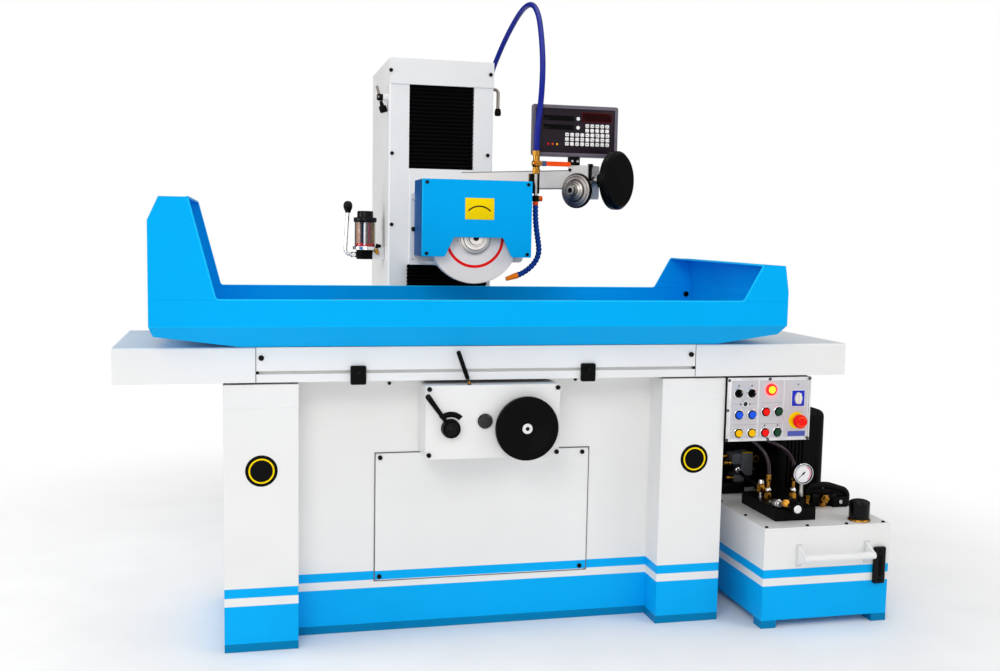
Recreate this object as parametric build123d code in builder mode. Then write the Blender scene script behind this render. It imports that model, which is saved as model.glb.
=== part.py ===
"""Hydraulic surface grinder with a travelling column, built as separate pieces.

Millimetres. X runs along the table, Y to the rear and Z up. The origin is on the floor, under the middle
of the front bed. The table, the column and the head stand where the photograph shows them.
"""

from build123d import *
from math import cos, pi, radians, sin, tan
import os

os.makedirs("parts", exist_ok=True)

# Bed
bed_length = 1844.0
bed_depth = 612.0
bed_top = 942.0
bed_wall = 30.0
leg_width = 253.0
leg_recess = 122.0
deck_thickness = 112.0
cylinder_channel_width = 150.0
cylinder_channel_depth = 82.0
way_height = 40.0
way_spacing = 400.0
vee_base_width = 80.0
vee_crest_width = 16.0
flat_way_width = 90.0
flat_way_side_gap = 3.0
rib_thickness = 30.0

# Rear bed, which carries the column
rear_way_spacing = 560.0
rear_bed_margin = 80.0
rear_bed_tail = 280.0
rear_bed_drop = 82.0

# Access cover on the bed's front, below the control box
cover_width = 810.0
cover_bottom = 192.0
cover_gap = 7.0
cover_x = 18.0
cover_thickness = 4.0
cover_corner = 14.0
cover_overlap = 45.0

# Clearances
slide_gap = 0.2
running_gap = 0.05
loose_gap = 0.3

# Table
table_x = -10.0
table_length = 1016.0
table_width = 508.0
table_block_height = 125.0
table_lift = 8.0
table_side_gap = 6.0
table_slot_width = 16.0
table_slot_depth = 28.0
table_slot_foot_width = 28.0
table_slot_foot_height = 12.0
table_slot_spacing = 150.0
table_stroke = 510.0
table_pocket_y = 107.0
table_pocket_width = 76.0
table_pocket_length = 300.0
table_pocket_pitch = 330.0
table_pocket_cover = 58.0
table_pocket_roof = 25.0
table_tunnel_side = 10.0
table_tunnel_top = 12.0

# Front rail and way covers
rail_left = -813.0
rail_right = 791.0
rail_height = 121.0
rail_thickness = 19.0
rail_groove_height = 34.0
rail_groove_width = 11.0
rail_groove_lip = 7.0
rail_groove_foot = 21.0
rail_groove_foot_depth = 7.0
left_way_cover_length = 465.0
right_way_cover_length = 620.0
way_cover_sheet = 4.0
way_cover_bend = 6.0
way_cover_gap = 1.5

# Splash trough, with a hood at each end
trough_side = 146.0
trough_sheet = 3.0
trough_seat = 2.0
trough_skirt_depth = 127.0
trough_skirt_height = 79.0
trough_wall_height = 88.0
trough_left = -1151.0
trough_right = 1092.0
trough_end_rise = 42.0
left_end_lean = 10.0
right_end_lean = 6.0
left_floor_run = 285.0
right_floor_run = 217.0
left_hood_height = 331.0
left_hood_shoulder_drop = 77.0
left_hood_roof_start = 35.0
left_hood_roof_length = 89.0
left_hood_foot_length = 210.0
right_hood_height = 131.0
right_hood_shoulder_drop = 95.0
right_hood_roof_start = 15.0
right_hood_roof_length = 87.0
right_hood_foot_length = 175.0

# Trip dogs
dog_width = 54.0
dog_height = 66.0
dog_thickness = 11.5
dog_drop = 10.5
dog_left_x = -466.0
dog_right_x = 369.0
dog_neck_width = 30.0
dog_corner = 6.0

# Table cylinder
cylinder_lift = 3.0
cylinder_half = 575.0
cylinder_cap = 25.0
cylinder_bore = 60.0
cylinder_wall = 8.0
cylinder_cap_diameter = 90.0
cylinder_foot_width = 70.0
piston_length = 60.0
rod_diameter = 36.0
lug_gap = 5.0
lug_thickness = 30.0
lug_width = 80.0
lug_drop = 33.0

# Control box; heights on it are measured down from its top
box_left = -232.0
box_right = 257.0
box_height = 263.5
box_top_gap = 6.5
box_reach = 46.0
box_wall = 6.0
box_corner = 10.0
plug_x = -19.0
plug_drop = 129.5
plug_diameter = 52.0
plug_height = 6.0
speed_x = -143.0
speed_drop = 152.5
speed_hub_diameter = 70.0
speed_hub_length = 22.0
speed_hub_taper = 8.0
speed_shaft_diameter = 20.0
speed_shaft_inside = 10.0
speed_lever_length = 144.0
speed_lever_lean = 36.0
speed_lever_tip = 20.0
speed_lever_root = 13.0
scale_radius = 52.0
scale_band = 14.0
scale_half_angle = 45.0
scale_height = 2.0

# Reversing lever
reverse_x = -66.0
reverse_setback = 14.0
reverse_drop = 20.5
reverse_lean = 20.0
reverse_length = 148.0
reverse_diameter = 11.0
reverse_hub_diameter = 24.0
reverse_pin_diameter = 10.0
reverse_slot_length = 50.0
reverse_slot_width = 13.0

# Handwheels
handwheel_diameter = 230.0
handwheel_thickness = 22.0
handwheel_rim = 26.0
handwheel_dish = 7.0
handwheel_hub_diameter = 56.0
handwheel_washer_diameter = 37.0
handwheel_washer_thickness = 4.0
handwheel_edge = 5.0
crossfeed_x = 127.0
crossfeed_drop = 153.5
crossfeed_hub_length = 24.0
crossfeed_screw_diameter = 40.0
crossfeed_nut_back = 280.0
crossfeed_nut_length = 70.0
crossfeed_nut_width = 56.0
crossfeed_slot_margin = 20.0
column_forward = 330.0
column_back = 200.0

# Control panel; places on it are measured from its lower left corner
panel_width = 352.0
panel_height = 245.0
panel_rise = 1.0
panel_reach = 10.0
panel_plate_gap = 4.0
panel_plate = 4.0
panel_box_depth = 76.0
panel_box_sheet = 3.0
cabinet_width = 390.0
cabinet_front = 212.0
cabinet_depth = 92.0
cabinet_bottom = 300.0
cabinet_height = 440.0
cabinet_sheet = 4.0
button_diameter = 27.0
button_height = 8.0
button_lift = 6.0
button_edge = 2.0
button_stem_diameter = 16.0
button_stem_length = 16.0
button_bezel_width = 3.5
button_bezel_height = 8.0
push_buttons = [
    ("blue_button_left", 53.0, 103.0),
    ("blue_button_right", 107.0, 103.0),
    ("yellow_button_left", 54.0, 33.0),
    ("yellow_button_right", 108.0, 33.0),
    ("red_button_upper", 164.0, 113.0),
    ("green_button_upper", 217.0, 113.0),
    ("red_button_lower", 163.0, 33.0),
    ("green_button_lower", 215.0, 33.0),
]
rotary_knobs = [("rotary_knob_left", 50.0, 185.0), ("rotary_knob_right", 104.0, 185.0)]
knob_diameter = 26.0
knob_height = 10.0
knob_grip_length = 24.0
knob_grip_width = 8.0
knob_grip_height = 12.0
knob_grip_taper = 4.0
knob_rest_angle = 60.0
lamp_across = 184.0
lamp_up = 198.0
lamp_diameter = 44.0
lamp_collar_width = 4.0
lamp_collar_height = 6.0
lamp_height = 20.0
lamp_taper = 12.0
switch_across = 297.0
switch_up = 163.0
switch_plate_width = 54.0
switch_plate_height = 62.0
switch_plate_thickness = 5.0
switch_knob_diameter = 40.0
switch_grip_length = 46.0
switch_grip_width = 14.0
switch_grip_taper = 6.0
switch_rest_angle = 75.0
stop_across = 295.0
stop_up = 77.0
stop_disc_diameter = 64.0
stop_disc_thickness = 3.0
stop_collar_diameter = 34.0
stop_collar_height = 12.0
stop_mushroom_diameter = 46.0
stop_mushroom_height = 20.0
stop_lift = 8.0

# Column on its saddle
column_x = 25.0
column_width = 476.0
column_depth = 640.0
column_front = 840.0
column_height = 1276.0
column_wall = 30.0
column_corner = 8.0
column_opening_width = 296.0
column_opening_sill = 40.0
column_cap_height = 113.0
column_cap_plate = 6.0
saddle_height = 100.0
saddle_margin = 60.0
saddle_toe = 55.0
saddle_heel = 20.0
saddle_lift = 8.0
saddle_corner = 20.0

# Head and spindle; heights on the head are measured from the spindle
wheel_clearance = 74.0
head_block_reach = 40.0
head_block_below = 130.5
head_block_above = 299.5
head_keeper_side_gap = 8.0
head_keeper_depth = 90.0
head_keeper_inset = 20.0
housing_width = 260.0
housing_below = 119.5
housing_above = 203.5
housing_corner = 40.0
housing_wall = 25.0
bearing_length = 120.0
bearing_wall = 60.0
flange_plate_margin = 14.0
flange_plate_below = 97.5
flange_plate_above = 175.5
flange_plate_thickness = 18.0
flange_plate_corner = 16.0
spindle_diameter = 60.0
spindle_end_gap = 2.0
motor_diameter = 220.0
motor_length = 280.0
motor_edge = 12.0
elevating_screw_offset = 165.0
elevating_screw_back = 80.0
elevating_screw_diameter = 36.0
elevating_journal_diameter = 24.0
elevating_journal_length = 20.0

# Grinding wheel, flange and guard
wheel_diameter = 355.0
wheel_width = 50.0
wheel_setback = 45.0
wheel_bore = 76.2
wheel_edge = 2.0
flange_diameter = 128.0
flange_thickness = 12.0
flange_step_diameter = 92.0
flange_step = 5.0
spindle_nut_diameter = 52.0
spindle_nut_length = 14.0
guard_side_gap = 38.5
guard_top_gap = 45.0
guard_below = 72.5
guard_front = 35.0
guard_depth = 187.0
guard_sheet = 5.0
guard_corner = 4.0
cutout_top_half = 96.5
cutout_bottom_half = 132.0
cutout_height = 75.0
cutout_offset = 6.0
cutout_corner = 12.0
guard_bore = 150.0

# Elevating arm, gearbox, dial and readout; the arm points forward and to the right, and heights on it
# are measured from the housing's top
arm_angle = 41.0
arm_width = 65.0
arm_height = 74.0
arm_corner = 6.0
arm_start_y = 600.0
elevating_wheel_reach = 563.0
elevating_wheel_y = 30.0
elevating_wheel_rise = 32.0
elevating_wheel_diameter = 230.0
elevating_wheel_edge = 12.0
elevating_wheel_bulge = 14.0
elevating_wheel_crown = 4.0
elevating_shaft_diameter = 24.0
elevating_shaft_gap = 1.0
gearbox_gap = 113.0
gearbox_length = 93.0
gearbox_width = 90.0
gearbox_below = 41.0
gearbox_above = 92.0
gearbox_corner = 8.0
gearbox_boss_diameter = 46.0
gearbox_boss_length = 30.0
gearbox_boss_taper = 4.0
dial_drop = 9.0
dial_diameter = 138.0
dial_thickness = 14.0
dial_cone_height = 22.0
dial_ring_thickness = 7.0
dial_disc_diameter = 128.0
dial_bevel_height = 7.0
dial_step_diameter = 84.0
dial_step_height = 4.0
dial_hub_diameter = 40.0
dial_nut_diameter = 34.0
dial_nut_length = 19.0
dial_socket_diameter = 15.0
dial_socket_depth = 11.0
dial_shaft_diameter = 20.0
dial_shaft_gap = 2.0
readout_width = 356.0
readout_height = 201.0
readout_front = 125.0
readout_depth = 60.0
readout_bezel = 18.0
readout_body_inset = 24.0
readout_frame = 14.0
readout_recess = 5.0
readout_corner = 10.0
readout_edge = 4.0
bracket_width = 43.0
bracket_depth = 24.0
bracket_height = 34.0
bracket_sink = 2.0
bracket_side = 42.4
bracket_back = 1.6
bracket_to_left_edge = 182.0

# Coolant valve, pipe and nozzle, at the guard's right side
valve_gap = 28.0
valve_setback = 55.0
valve_rise = 33.0
valve_length = 89.0
valve_diameter = 26.0
valve_nut_diameter = 32.0
valve_nut_length = 19.0
valve_ball_diameter = 38.0
valve_stem_rise = 39.0
valve_stem_diameter = 12.0
valve_stem_length = 29.0
pipe_diameter = 14.0
pipe_drop = 53.0
pipe_clip_diameter = 28.0
pipe_clip_height = 22.0
pipe_knob_diameter = 20.0
pipe_knob_length = 12.0
pipe_bracket_rise = 32.0
pipe_bracket_drop = 44.0
pipe_bracket_depth = 12.0
valve_lever_length = 133.0
valve_lever_width = 18.0
valve_lever_eye = 22.0
valve_lever_corner = 8.0
valve_lever_thickness = 8.0
nozzle_ball_diameter = 23.0
nozzle_ball_pitch = 15.0
nozzle_neck_diameter = 17.0
nozzle_neck_length = 18.0
nozzle_spigot = 14.0
nozzle_tip_length = 48.0
nozzle_tip_diameter = 10.0
nozzle_bends = [(4.0, 92.0), (14.0, 157.0), (16.0, 207.0), (-4.0, 247.0), (-30.0, 271.0), (-68.0, 291.0)]

# Coolant hose and its gland on the column's right side
hose_diameter = 23.0
hose_gland_back = 340.0
hose_gland_drop = 276.0
hose_gland_reach = 26.0
hose_gland_diameter = 40.0
hose_gland_height = 46.0
hose_first_run = 89.0
hose_last_run = 76.0
hose_bends = [
    (297.0, 1120.0, 2175.0),
    (304.0, 1000.0, 2262.0),
    (322.0, 850.0, 2362.0),
    (340.0, 660.0, 2444.0),
    (348.0, 510.0, 2447.0),
    (346.0, 390.0, 2380.0),
    (336.0, 300.0, 2275.0),
    (317.0, 200.0, 2160.0),
    (298.0, 133.0, 2055.0),
    (282.0, 97.0, 1960.0),
]
corner_share = 0.45

# Column bellows
bellows_depth = 24.0
bellows_sheet = 2.0
bellows_pitch = 17.0
bellows_side_gap = 2.0
bellows_setback = 3.0
lower_bellows_left_reach = 155.0
lower_bellows_right_reach = 213.0
lower_bellows_depth = 34.0

# Lubricator on the column's left side
lubricator_stand = 87.0
lubricator_back = 160.0
lubricator_rise = 376.0
lubricator_base_diameter = 80.0
lubricator_base_height = 44.0
lubricator_ring_diameter = 112.0
lubricator_ring_height = 14.0
lubricator_cup_diameter = 96.0
lubricator_cup_height = 112.0
lubricator_cup_wall = 4.0
lubricator_cap_diameter = 106.0
lubricator_cap_height = 22.0
lubricator_knob_diameter = 74.0
lubricator_knob_height = 30.0
lubricator_knob_edge = 5.0
lubricator_bracket_height = 60.0
lubricator_bracket_width = 50.0
pump_lever_stand = 53.0
pump_lever_rise = 20.0
pump_lever_reach = 39.0
pump_lever_lean = 12.0
pump_lever_height = 226.0
pump_lever_diameter = 13.0
pump_lever_bend = 27.3
pump_lever_hub_diameter = 20.0
pump_lever_pin_diameter = 8.0
pump_lever_ear = 24.0
pump_lever_ear_thickness = 8.0
pump_lever_ear_gap = 1.0
pump_ball_diameter = 40.0
pump_ball_sink = 3.0

# Clamp levers on the column's sides
clamp_back = 65.0
clamp_knob_length = 26.0
clamp_knob_diameter = 20.0
clamp_knob_neck = 14.0
left_clamp_below = 168.0
left_clamp_hub_diameter = 30.0
left_clamp_hub_length = 26.0
left_clamp_hub_edge = 6.0
left_clamp_boss_length = 22.0
left_clamp_pin_diameter = 12.0
left_clamp_rod_length = 52.0
left_clamp_rod_diameter = 9.0
left_clamp_neck_length = 44.0
left_clamp_lean = 16.0
right_clamp_below = 110.0
right_clamp_reach = 36.0
right_clamp_drop = 86.0
right_clamp_rod_diameter = 11.0
right_clamp_knob_diameter = 24.0
right_clamp_boss_diameter = 26.0
right_clamp_boss_length = 10.0
right_clamp_bore_depth = 22.0
right_clamp_bend = 18.0

# Hydraulic tank beside the bed's right end, with what stands on its lid
tank_gap = 123.0
tank_length = 527.0
tank_reach = 126.0
tank_depth = 640.0
tank_height = 351.0
tank_foot_height = 30.0
tank_foot_width = 62.0
tank_sheet = 4.0
tank_lid = 4.0
handle_offset = 287.0
handle_rise = 248.0
handle_length = 296.0
handle_bar = 26.0
handle_stand = 50.0
handle_plate = 10.0
handle_foot_height = 76.0
manifold_offset = 92.0
manifold_setback = 94.0
manifold_length = 170.0
manifold_depth = 298.0
manifold_height = 47.0
manifold_corner = 4.0
fitting_diameter = 26.0
fitting_height = 98.0
stub_offset = 28.0
stub_setback = 187.0
stub_diameter = 34.0
stub_height = 76.0
gauge_offset = 124.0
gauge_setback = 40.0
gauge_rise = 130.0
gauge_diameter = 82.0
gauge_depth = 32.0
gauge_rim = 5.0
gauge_recess = 3.0
gauge_stem_diameter = 18.0
relief_offset = 66.0
relief_rise = 57.0
relief_diameter = 52.0
relief_length = 30.0
relief_body_width = 46.0
relief_body_depth = 74.0
relief_body_height = 34.0
relief_neck_diameter = 28.0
relief_neck_length = 18.0
filler_from_right = 96.0
filler_setback = 64.0
filler_diameter = 78.0
filler_height = 82.0
filler_edge = 14.0
filler_base_diameter = 86.0
filler_base_height = 8.0
level_from_right = 45.0
level_rise = 195.0
level_width = 50.0
level_height = 144.0
level_depth = 18.0
level_edge = 4.0
pump_from_right = 166.0
pump_from_back = 118.0
pump_height = 372.0
pump_motor_width = 190.0
pump_motor_depth = 220.0
pump_corner = 32.0
pump_flange_width = 206.0
pump_flange_depth = 230.0
pump_flange_height = 22.0
pump_groove_count = 5
pump_groove_pitch = 17.0
pump_groove_width = 7.0
pump_groove_depth = 9.0
pump_groove_margin = 24.0
pump_cowl_height = 84.0
pump_cowl_edge = 26.0
check_valve_from_right = 132.0
check_valve_setback = 280.0
check_valve_rise = 39.0
check_valve_diameter = 44.0
check_valve_length = 110.0

# Oil hoses: fittings measured from the manifold's front left corner, ports on the bed's end as (y, z),
# bends as (distance from the bed's end, y, z)
port_diameter = 34.0
port_reach = 24.0
oil_hose_diameter = 15.0
oil_fittings = [(48.0, 163.0), (148.0, 146.0)]
oil_ports = [(-108.0, 720.0), (-148.0, 690.0)]
oil_hose_bends = [
    [
        (263.0, -175.0, 566.0),
        (256.0, -168.0, 600.0),
        (238.0, -158.0, 632.0),
        (204.0, -142.0, 664.0),
        (152.0, -120.0, 700.0),
        (90.0, -108.0, 720.0),
    ],
    [
        (363.0, -192.0, 566.0),
        (355.0, -190.0, 596.0),
        (335.0, -186.0, 623.0),
        (304.0, -181.0, 646.0),
        (262.0, -172.0, 665.0),
        (200.0, -158.0, 682.0),
        (112.0, -148.0, 690.0),
    ],
]

# Places worked out from the sizes above: bed and table
bed_front = -bed_depth / 2
bed_back = bed_depth / 2
bed_end = bed_length / 2
recess_y = bed_front + leg_recess
cavity_top = bed_top - deck_thickness
way_y = way_spacing / 2
channel_floor = bed_top - cylinder_channel_depth
cylinder_z = bed_top + cylinder_lift
cylinder_outer = cylinder_bore / 2 + cylinder_wall
lug_inner = cylinder_half + table_stroke + lug_gap
table_end = lug_inner + lug_thickness
table_bottom = bed_top + table_lift
table_body_width = bed_depth - 2 * table_side_gap
rail_top = table_bottom + rail_height
rail_groove_z = table_bottom + rail_groove_height
rail_back = -table_body_width / 2
rail_front = rail_back - rail_thickness
way_cover_left = rail_left - left_way_cover_length
way_cover_right = rail_right + right_way_cover_length
cover_half_depth = -rail_front
end_top = rail_top - way_cover_sheet
dog_bottom = table_bottom - dog_drop

# Splash trough
trough_depth = table_body_width + 2 * trough_side
trough_floor_width = trough_depth - 2 * trough_skirt_depth
trough_floor = rail_top + trough_seat
trough_fold = trough_floor + trough_skirt_height
trough_rim = trough_fold + trough_wall_height
table_top = trough_floor + table_block_height
table_pocket_top = table_top - table_pocket_cover
trough_floor_left = trough_left + left_floor_run
trough_floor_right = trough_right - right_floor_run
left_hood_top = trough_rim + left_hood_height
left_hood_shoulder = left_hood_top - left_hood_shoulder_drop
left_hood_roof_out = trough_left + left_hood_roof_start
left_hood_roof_in = left_hood_roof_out + left_hood_roof_length
left_hood_foot = trough_left + left_hood_foot_length
right_hood_top = trough_rim + right_hood_height
right_hood_shoulder = right_hood_top - right_hood_shoulder_drop
right_hood_roof_out = trough_right - right_hood_roof_start
right_hood_roof_in = right_hood_roof_out - right_hood_roof_length
right_hood_foot = trough_right - right_hood_foot_length

# Control box, access cover and panel
box_top = bed_top - box_top_gap
box_bottom = box_top - box_height
box_front = bed_front - box_reach
cover_height = box_bottom - cover_gap - cover_bottom
plug_z = box_top - plug_drop
speed_z = box_top - speed_drop
reverse_y = box_front + reverse_setback
reverse_z = box_top - reverse_drop
crossfeed_z = box_top - crossfeed_drop
panel_left = bed_end
panel_right = panel_left + panel_width
panel_plate_left = panel_left + panel_plate_gap
panel_top = bed_top + panel_rise
panel_bottom = panel_top - panel_height
panel_front = bed_front - panel_reach
button_places = [(panel_left + across, panel_bottom + up) for name, across, up in push_buttons]
knob_places = [(panel_left + across, panel_bottom + up) for name, across, up in rotary_knobs]
lamp_place = (panel_left + lamp_across, panel_bottom + lamp_up)
switch_place = (panel_left + switch_across, panel_bottom + switch_up)
stop_place = (panel_left + stop_across, panel_bottom + stop_up)

# Column and what it carries
rear_bed_width = rear_way_spacing + 2 * rear_bed_margin
rear_bed_top = bed_top - rear_bed_drop
saddle_width = rear_way_spacing + 2 * saddle_margin
saddle_bottom = rear_bed_top + saddle_lift
saddle_front = column_front - saddle_toe
column_rear = column_front + column_depth
saddle_back = column_rear + saddle_heel
rear_bed_end = column_rear + rear_bed_tail
column_base_z = rear_bed_top + saddle_height
column_top = column_base_z + column_height
column_left = column_x - column_width / 2
column_right = column_x + column_width / 2
column_opening_bottom = column_base_z + column_opening_sill
opening_top = column_top - column_cap_height
crossfeed_nut_y = column_front + crossfeed_nut_back
elevating_screw_place = (column_x + elevating_screw_offset, column_front + elevating_screw_back)
clamp_y = column_front + clamp_back
left_clamp_z = column_top - left_clamp_below
right_clamp_z = column_top - right_clamp_below
lubricator_place = (column_left - lubricator_stand, column_front + lubricator_back)
lubricator_base_z = column_base_z + lubricator_rise
pump_lever_pivot_x = lubricator_place[0] - pump_lever_stand
pump_lever_pivot_z = lubricator_base_z + pump_lever_rise
pump_lever_top = lubricator_base_z + pump_lever_height

# Head, guard and coolant valve
spindle_z = table_top + wheel_diameter / 2 + wheel_clearance
head_block_front = column_front - head_block_reach
head_block_bottom = spindle_z - head_block_below
head_block_top = spindle_z + head_block_above
head_keeper_width = column_width - 2 * (column_wall + head_keeper_side_gap)
housing_bottom = spindle_z - housing_below
housing_top = spindle_z + housing_above
guard_half_width = wheel_diameter / 2 + guard_side_gap
guard_left = column_x - guard_half_width
guard_right = column_x + guard_half_width
guard_bottom = spindle_z - guard_below
guard_top = spindle_z + wheel_diameter / 2 + guard_top_gap
guard_back = guard_front + guard_depth
wheel_front = guard_front + wheel_setback
cutout_x = column_x + cutout_offset
flange_plate_left = guard_left - flange_plate_margin
flange_plate_right = guard_right + flange_plate_margin
flange_plate_bottom = spindle_z - flange_plate_below
flange_plate_top = spindle_z + flange_plate_above
valve_x = guard_right + valve_gap
valve_y = guard_front + valve_setback
valve_bottom = guard_top + valve_rise
valve_top = valve_bottom + valve_length
valve_stem_z = valve_bottom + valve_stem_rise
pipe_bottom = guard_top - pipe_drop
pipe_clip_bottom = pipe_bottom - pipe_clip_height
pipe_bracket_top = guard_top + pipe_bracket_rise
pipe_bracket_bottom = guard_top - pipe_bracket_drop

# Elevating arm, gearbox and readout
arm_forward = Vector(sin(radians(arm_angle)), -cos(radians(arm_angle)), 0)
arm_side = Vector(-cos(radians(arm_angle)), -sin(radians(arm_angle)), 0)
elevating_wheel_z = housing_top + elevating_wheel_rise
elevating_centre = Vector(column_x + elevating_wheel_reach, elevating_wheel_y, elevating_wheel_z)
gearbox_middle = elevating_centre - arm_forward * (gearbox_gap + gearbox_length / 2)
gearbox_bottom = housing_top - gearbox_below
gearbox_top = housing_top + gearbox_above
dial_z = housing_top - dial_drop
bracket_x = gearbox_middle.X - bracket_side
bracket_y = gearbox_middle.Y + bracket_back
readout_left = bracket_x - bracket_to_left_edge
readout_right = readout_left + readout_width
readout_bottom = gearbox_top + bracket_height
readout_top = readout_bottom + readout_height

# Coolant hose
gland_x = column_right + hose_gland_reach
hose_gland_y = column_front + hose_gland_back
hose_gland_z = column_top - hose_gland_drop
hose_start_z = hose_gland_z + hose_gland_height
hose_route = [
    (gland_x, hose_gland_y, hose_start_z),
    (gland_x, hose_gland_y, hose_start_z + hose_first_run),
    *hose_bends,
    (valve_x, valve_y, valve_top + hose_last_run),
    (valve_x, valve_y, valve_top),
]

# Hydraulic tank
tank_left = bed_end + tank_gap
tank_right = tank_left + tank_length
tank_front = bed_front - tank_reach
tank_back = tank_front + tank_depth
tank_top = tank_foot_height + tank_height
lid_top = tank_top + tank_lid
handle_x = tank_left + handle_offset
handle_z = tank_foot_height + handle_rise
manifold_left = tank_left + manifold_offset
manifold_right = manifold_left + manifold_length
manifold_front = tank_front + manifold_setback
manifold_back = manifold_front + manifold_depth
manifold_top = lid_top + manifold_height
gauge_x = manifold_left + gauge_offset
gauge_y = manifold_front + gauge_setback
gauge_z = manifold_top + gauge_rise
relief_place = (manifold_left + relief_offset, lid_top + relief_rise)
filler_place = (tank_right - filler_from_right, tank_front + filler_setback)
level_x = tank_right - level_from_right
level_z = tank_foot_height + level_rise
pump_place = (tank_right - pump_from_right, tank_back - pump_from_back)
pump_motor_top = lid_top + pump_height
check_valve_x = tank_right - check_valve_from_right
check_valve_y = tank_front + check_valve_setback
check_valve_z = lid_top + check_valve_rise
fitting_places = [(manifold_left + across, manifold_front + back) for across, back in oil_fittings]
oil_hose_routes = [
    [
        (*fitting, manifold_top + fitting_height),
        *[(bed_end + x, y, z) for x, y, z in bends],
        (bed_end + port_reach, *port),
    ]
    for fitting, bends, port in zip(fitting_places, oil_hose_bends, oil_ports)
]


def front_view(y):
    """Plane that faces the operator at depth y: its x is X and its y is Z; it extrudes forward."""
    return Plane.XZ.offset(-y)


def side_view(x):
    """Plane across the machine at x: its x is Y and its y is Z; it extrudes to the right."""
    return Plane.YZ.offset(x)


def arm_plane(distance, side, z):
    """Plane square to the arm: distance back from the handwheel's face, side to the left, facing forward."""
    middle = elevating_centre - arm_forward * distance + arm_side * side
    return Plane(origin=(middle.X, middle.Y, z), x_dir=-arm_side, z_dir=arm_forward)


def solid_box(x_span, y_span, z_span, mode=Mode.ADD):
    """Box between two limits on each axis, in the part that is open."""
    middle = [(span[0] + span[1]) / 2 for span in (x_span, y_span, z_span)]
    size = [span[1] - span[0] for span in (x_span, y_span, z_span)]
    with Locations(tuple(middle)):
        Box(*size, mode=mode)


def corner_radii(points):
    """Bend radius at each inner point of a cord, as large as its two runs allow."""
    corners = [Vector(*point) for point in points]
    radii = []
    for before, corner, after in zip(corners, corners[1:], corners[2:]):
        turn = radians((corner - before).get_angle(after - corner))
        shorter = min((corner - before).length, (after - corner).length)
        radii.append(corner_share * shorter / tan(turn / 2))
    return radii


def vee_profile(middle, base, crest, bottom, height, grow=0.0):
    """Corner points of a vee way in section, grown outward by a clearance."""
    return [
        (middle - base / 2 - grow, bottom),
        (middle - crest / 2 - grow, bottom + height + grow),
        (middle + crest / 2 + grow, bottom + height + grow),
        (middle + base / 2 + grow, bottom),
    ]


# Bed: hollow, T-shaped from above, with a vee way and a flat way on each arm; the front and rear beds are
# bolted together, and the way rails stand on them as pieces of their own
with BuildPart() as bed_casting:
    with BuildSketch():
        with Locations((0, 0)):
            Rectangle(bed_length, bed_depth)
        with Locations((0, bed_front + leg_recess / 2)):
            Rectangle(bed_length - 2 * leg_width, leg_recess, mode=Mode.SUBTRACT)
    extrude(amount=bed_top)
    solid_box(
        (column_x - rear_bed_width / 2, column_x + rear_bed_width / 2),
        (bed_back, rear_bed_end),
        (0, rear_bed_top),
    )
    with BuildSketch():
        with Locations((0, 0)):
            Rectangle(bed_length - 2 * bed_wall, bed_depth - 2 * bed_wall)
        with Locations((0, bed_front + (leg_recess + bed_wall) / 2)):
            Rectangle(bed_length - 2 * leg_width + 2 * bed_wall, leg_recess + bed_wall, mode=Mode.SUBTRACT)
    extrude(amount=cavity_top, mode=Mode.SUBTRACT)
    solid_box(
        (column_x - rear_bed_width / 2 + bed_wall, column_x + rear_bed_width / 2 - bed_wall),
        (bed_back, rear_bed_end - bed_wall),
        (0, rear_bed_top - bed_wall),
        mode=Mode.SUBTRACT,
    )
    solid_box(
        (-rib_thickness / 2, rib_thickness / 2),
        (recess_y + bed_wall, bed_back - bed_wall),
        (0, cavity_top),
    )
    solid_box(
        (-bed_end, bed_end),
        (-cylinder_channel_width / 2, cylinder_channel_width / 2),
        (channel_floor, bed_top),
        mode=Mode.SUBTRACT,
    )
    with BuildSketch(side_view(-bed_end)):
        with BuildLine():
            Polyline(vee_profile(-way_y, vee_base_width, vee_crest_width, bed_top, way_height), close=True)
        make_face()
    extrude(amount=bed_length)
    solid_box(
        (-bed_end, bed_end),
        (way_y - flat_way_width / 2, way_y + flat_way_width / 2),
        (bed_top, bed_top + way_height),
    )
    with BuildSketch(front_view(rear_bed_end)):
        with BuildLine():
            Polyline(
                vee_profile(
                    column_x - rear_way_spacing / 2, vee_base_width, vee_crest_width, rear_bed_top, way_height
                ),
                close=True,
            )
        make_face()
    extrude(amount=rear_bed_end - bed_back)
    solid_box(
        (
            column_x + (rear_way_spacing - flat_way_width) / 2,
            column_x + (rear_way_spacing + flat_way_width) / 2,
        ),
        (bed_back, rear_bed_end),
        (rear_bed_top, rear_bed_top + way_height),
    )
    solid_box(
        (cover_x - cover_width / 2 + cover_overlap, cover_x + cover_width / 2 - cover_overlap),
        (recess_y, recess_y + bed_wall),
        (cover_bottom + cover_overlap, cover_bottom + cover_height - cover_overlap),
        mode=Mode.SUBTRACT,
    )
    solid_box(
        (crossfeed_x - crossfeed_nut_width / 2 - crossfeed_slot_margin,
         crossfeed_x + crossfeed_nut_width / 2 + crossfeed_slot_margin),
        (crossfeed_nut_y - column_forward - crossfeed_nut_length / 2 - crossfeed_slot_margin,
         crossfeed_nut_y + column_back + crossfeed_nut_length / 2 + crossfeed_slot_margin),
        (rear_bed_top - bed_wall, rear_bed_top),
        mode=Mode.SUBTRACT,
    )
    with BuildSketch(front_view(rear_bed_end)):
        with Locations((crossfeed_x, crossfeed_z)):
            Circle(crossfeed_screw_diameter / 2 + running_gap)
    extrude(amount=rear_bed_end - recess_y, mode=Mode.SUBTRACT)
    split(bisect_by=Plane.XZ.offset(-bed_back), keep=Keep.BOTH)
    split(bisect_by=Plane.XY.offset(channel_floor), keep=Keep.BOTH)
bed_casting.part.label = "bed_casting"
export_step(bed_casting.part, "parts/bed_casting.step")

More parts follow.
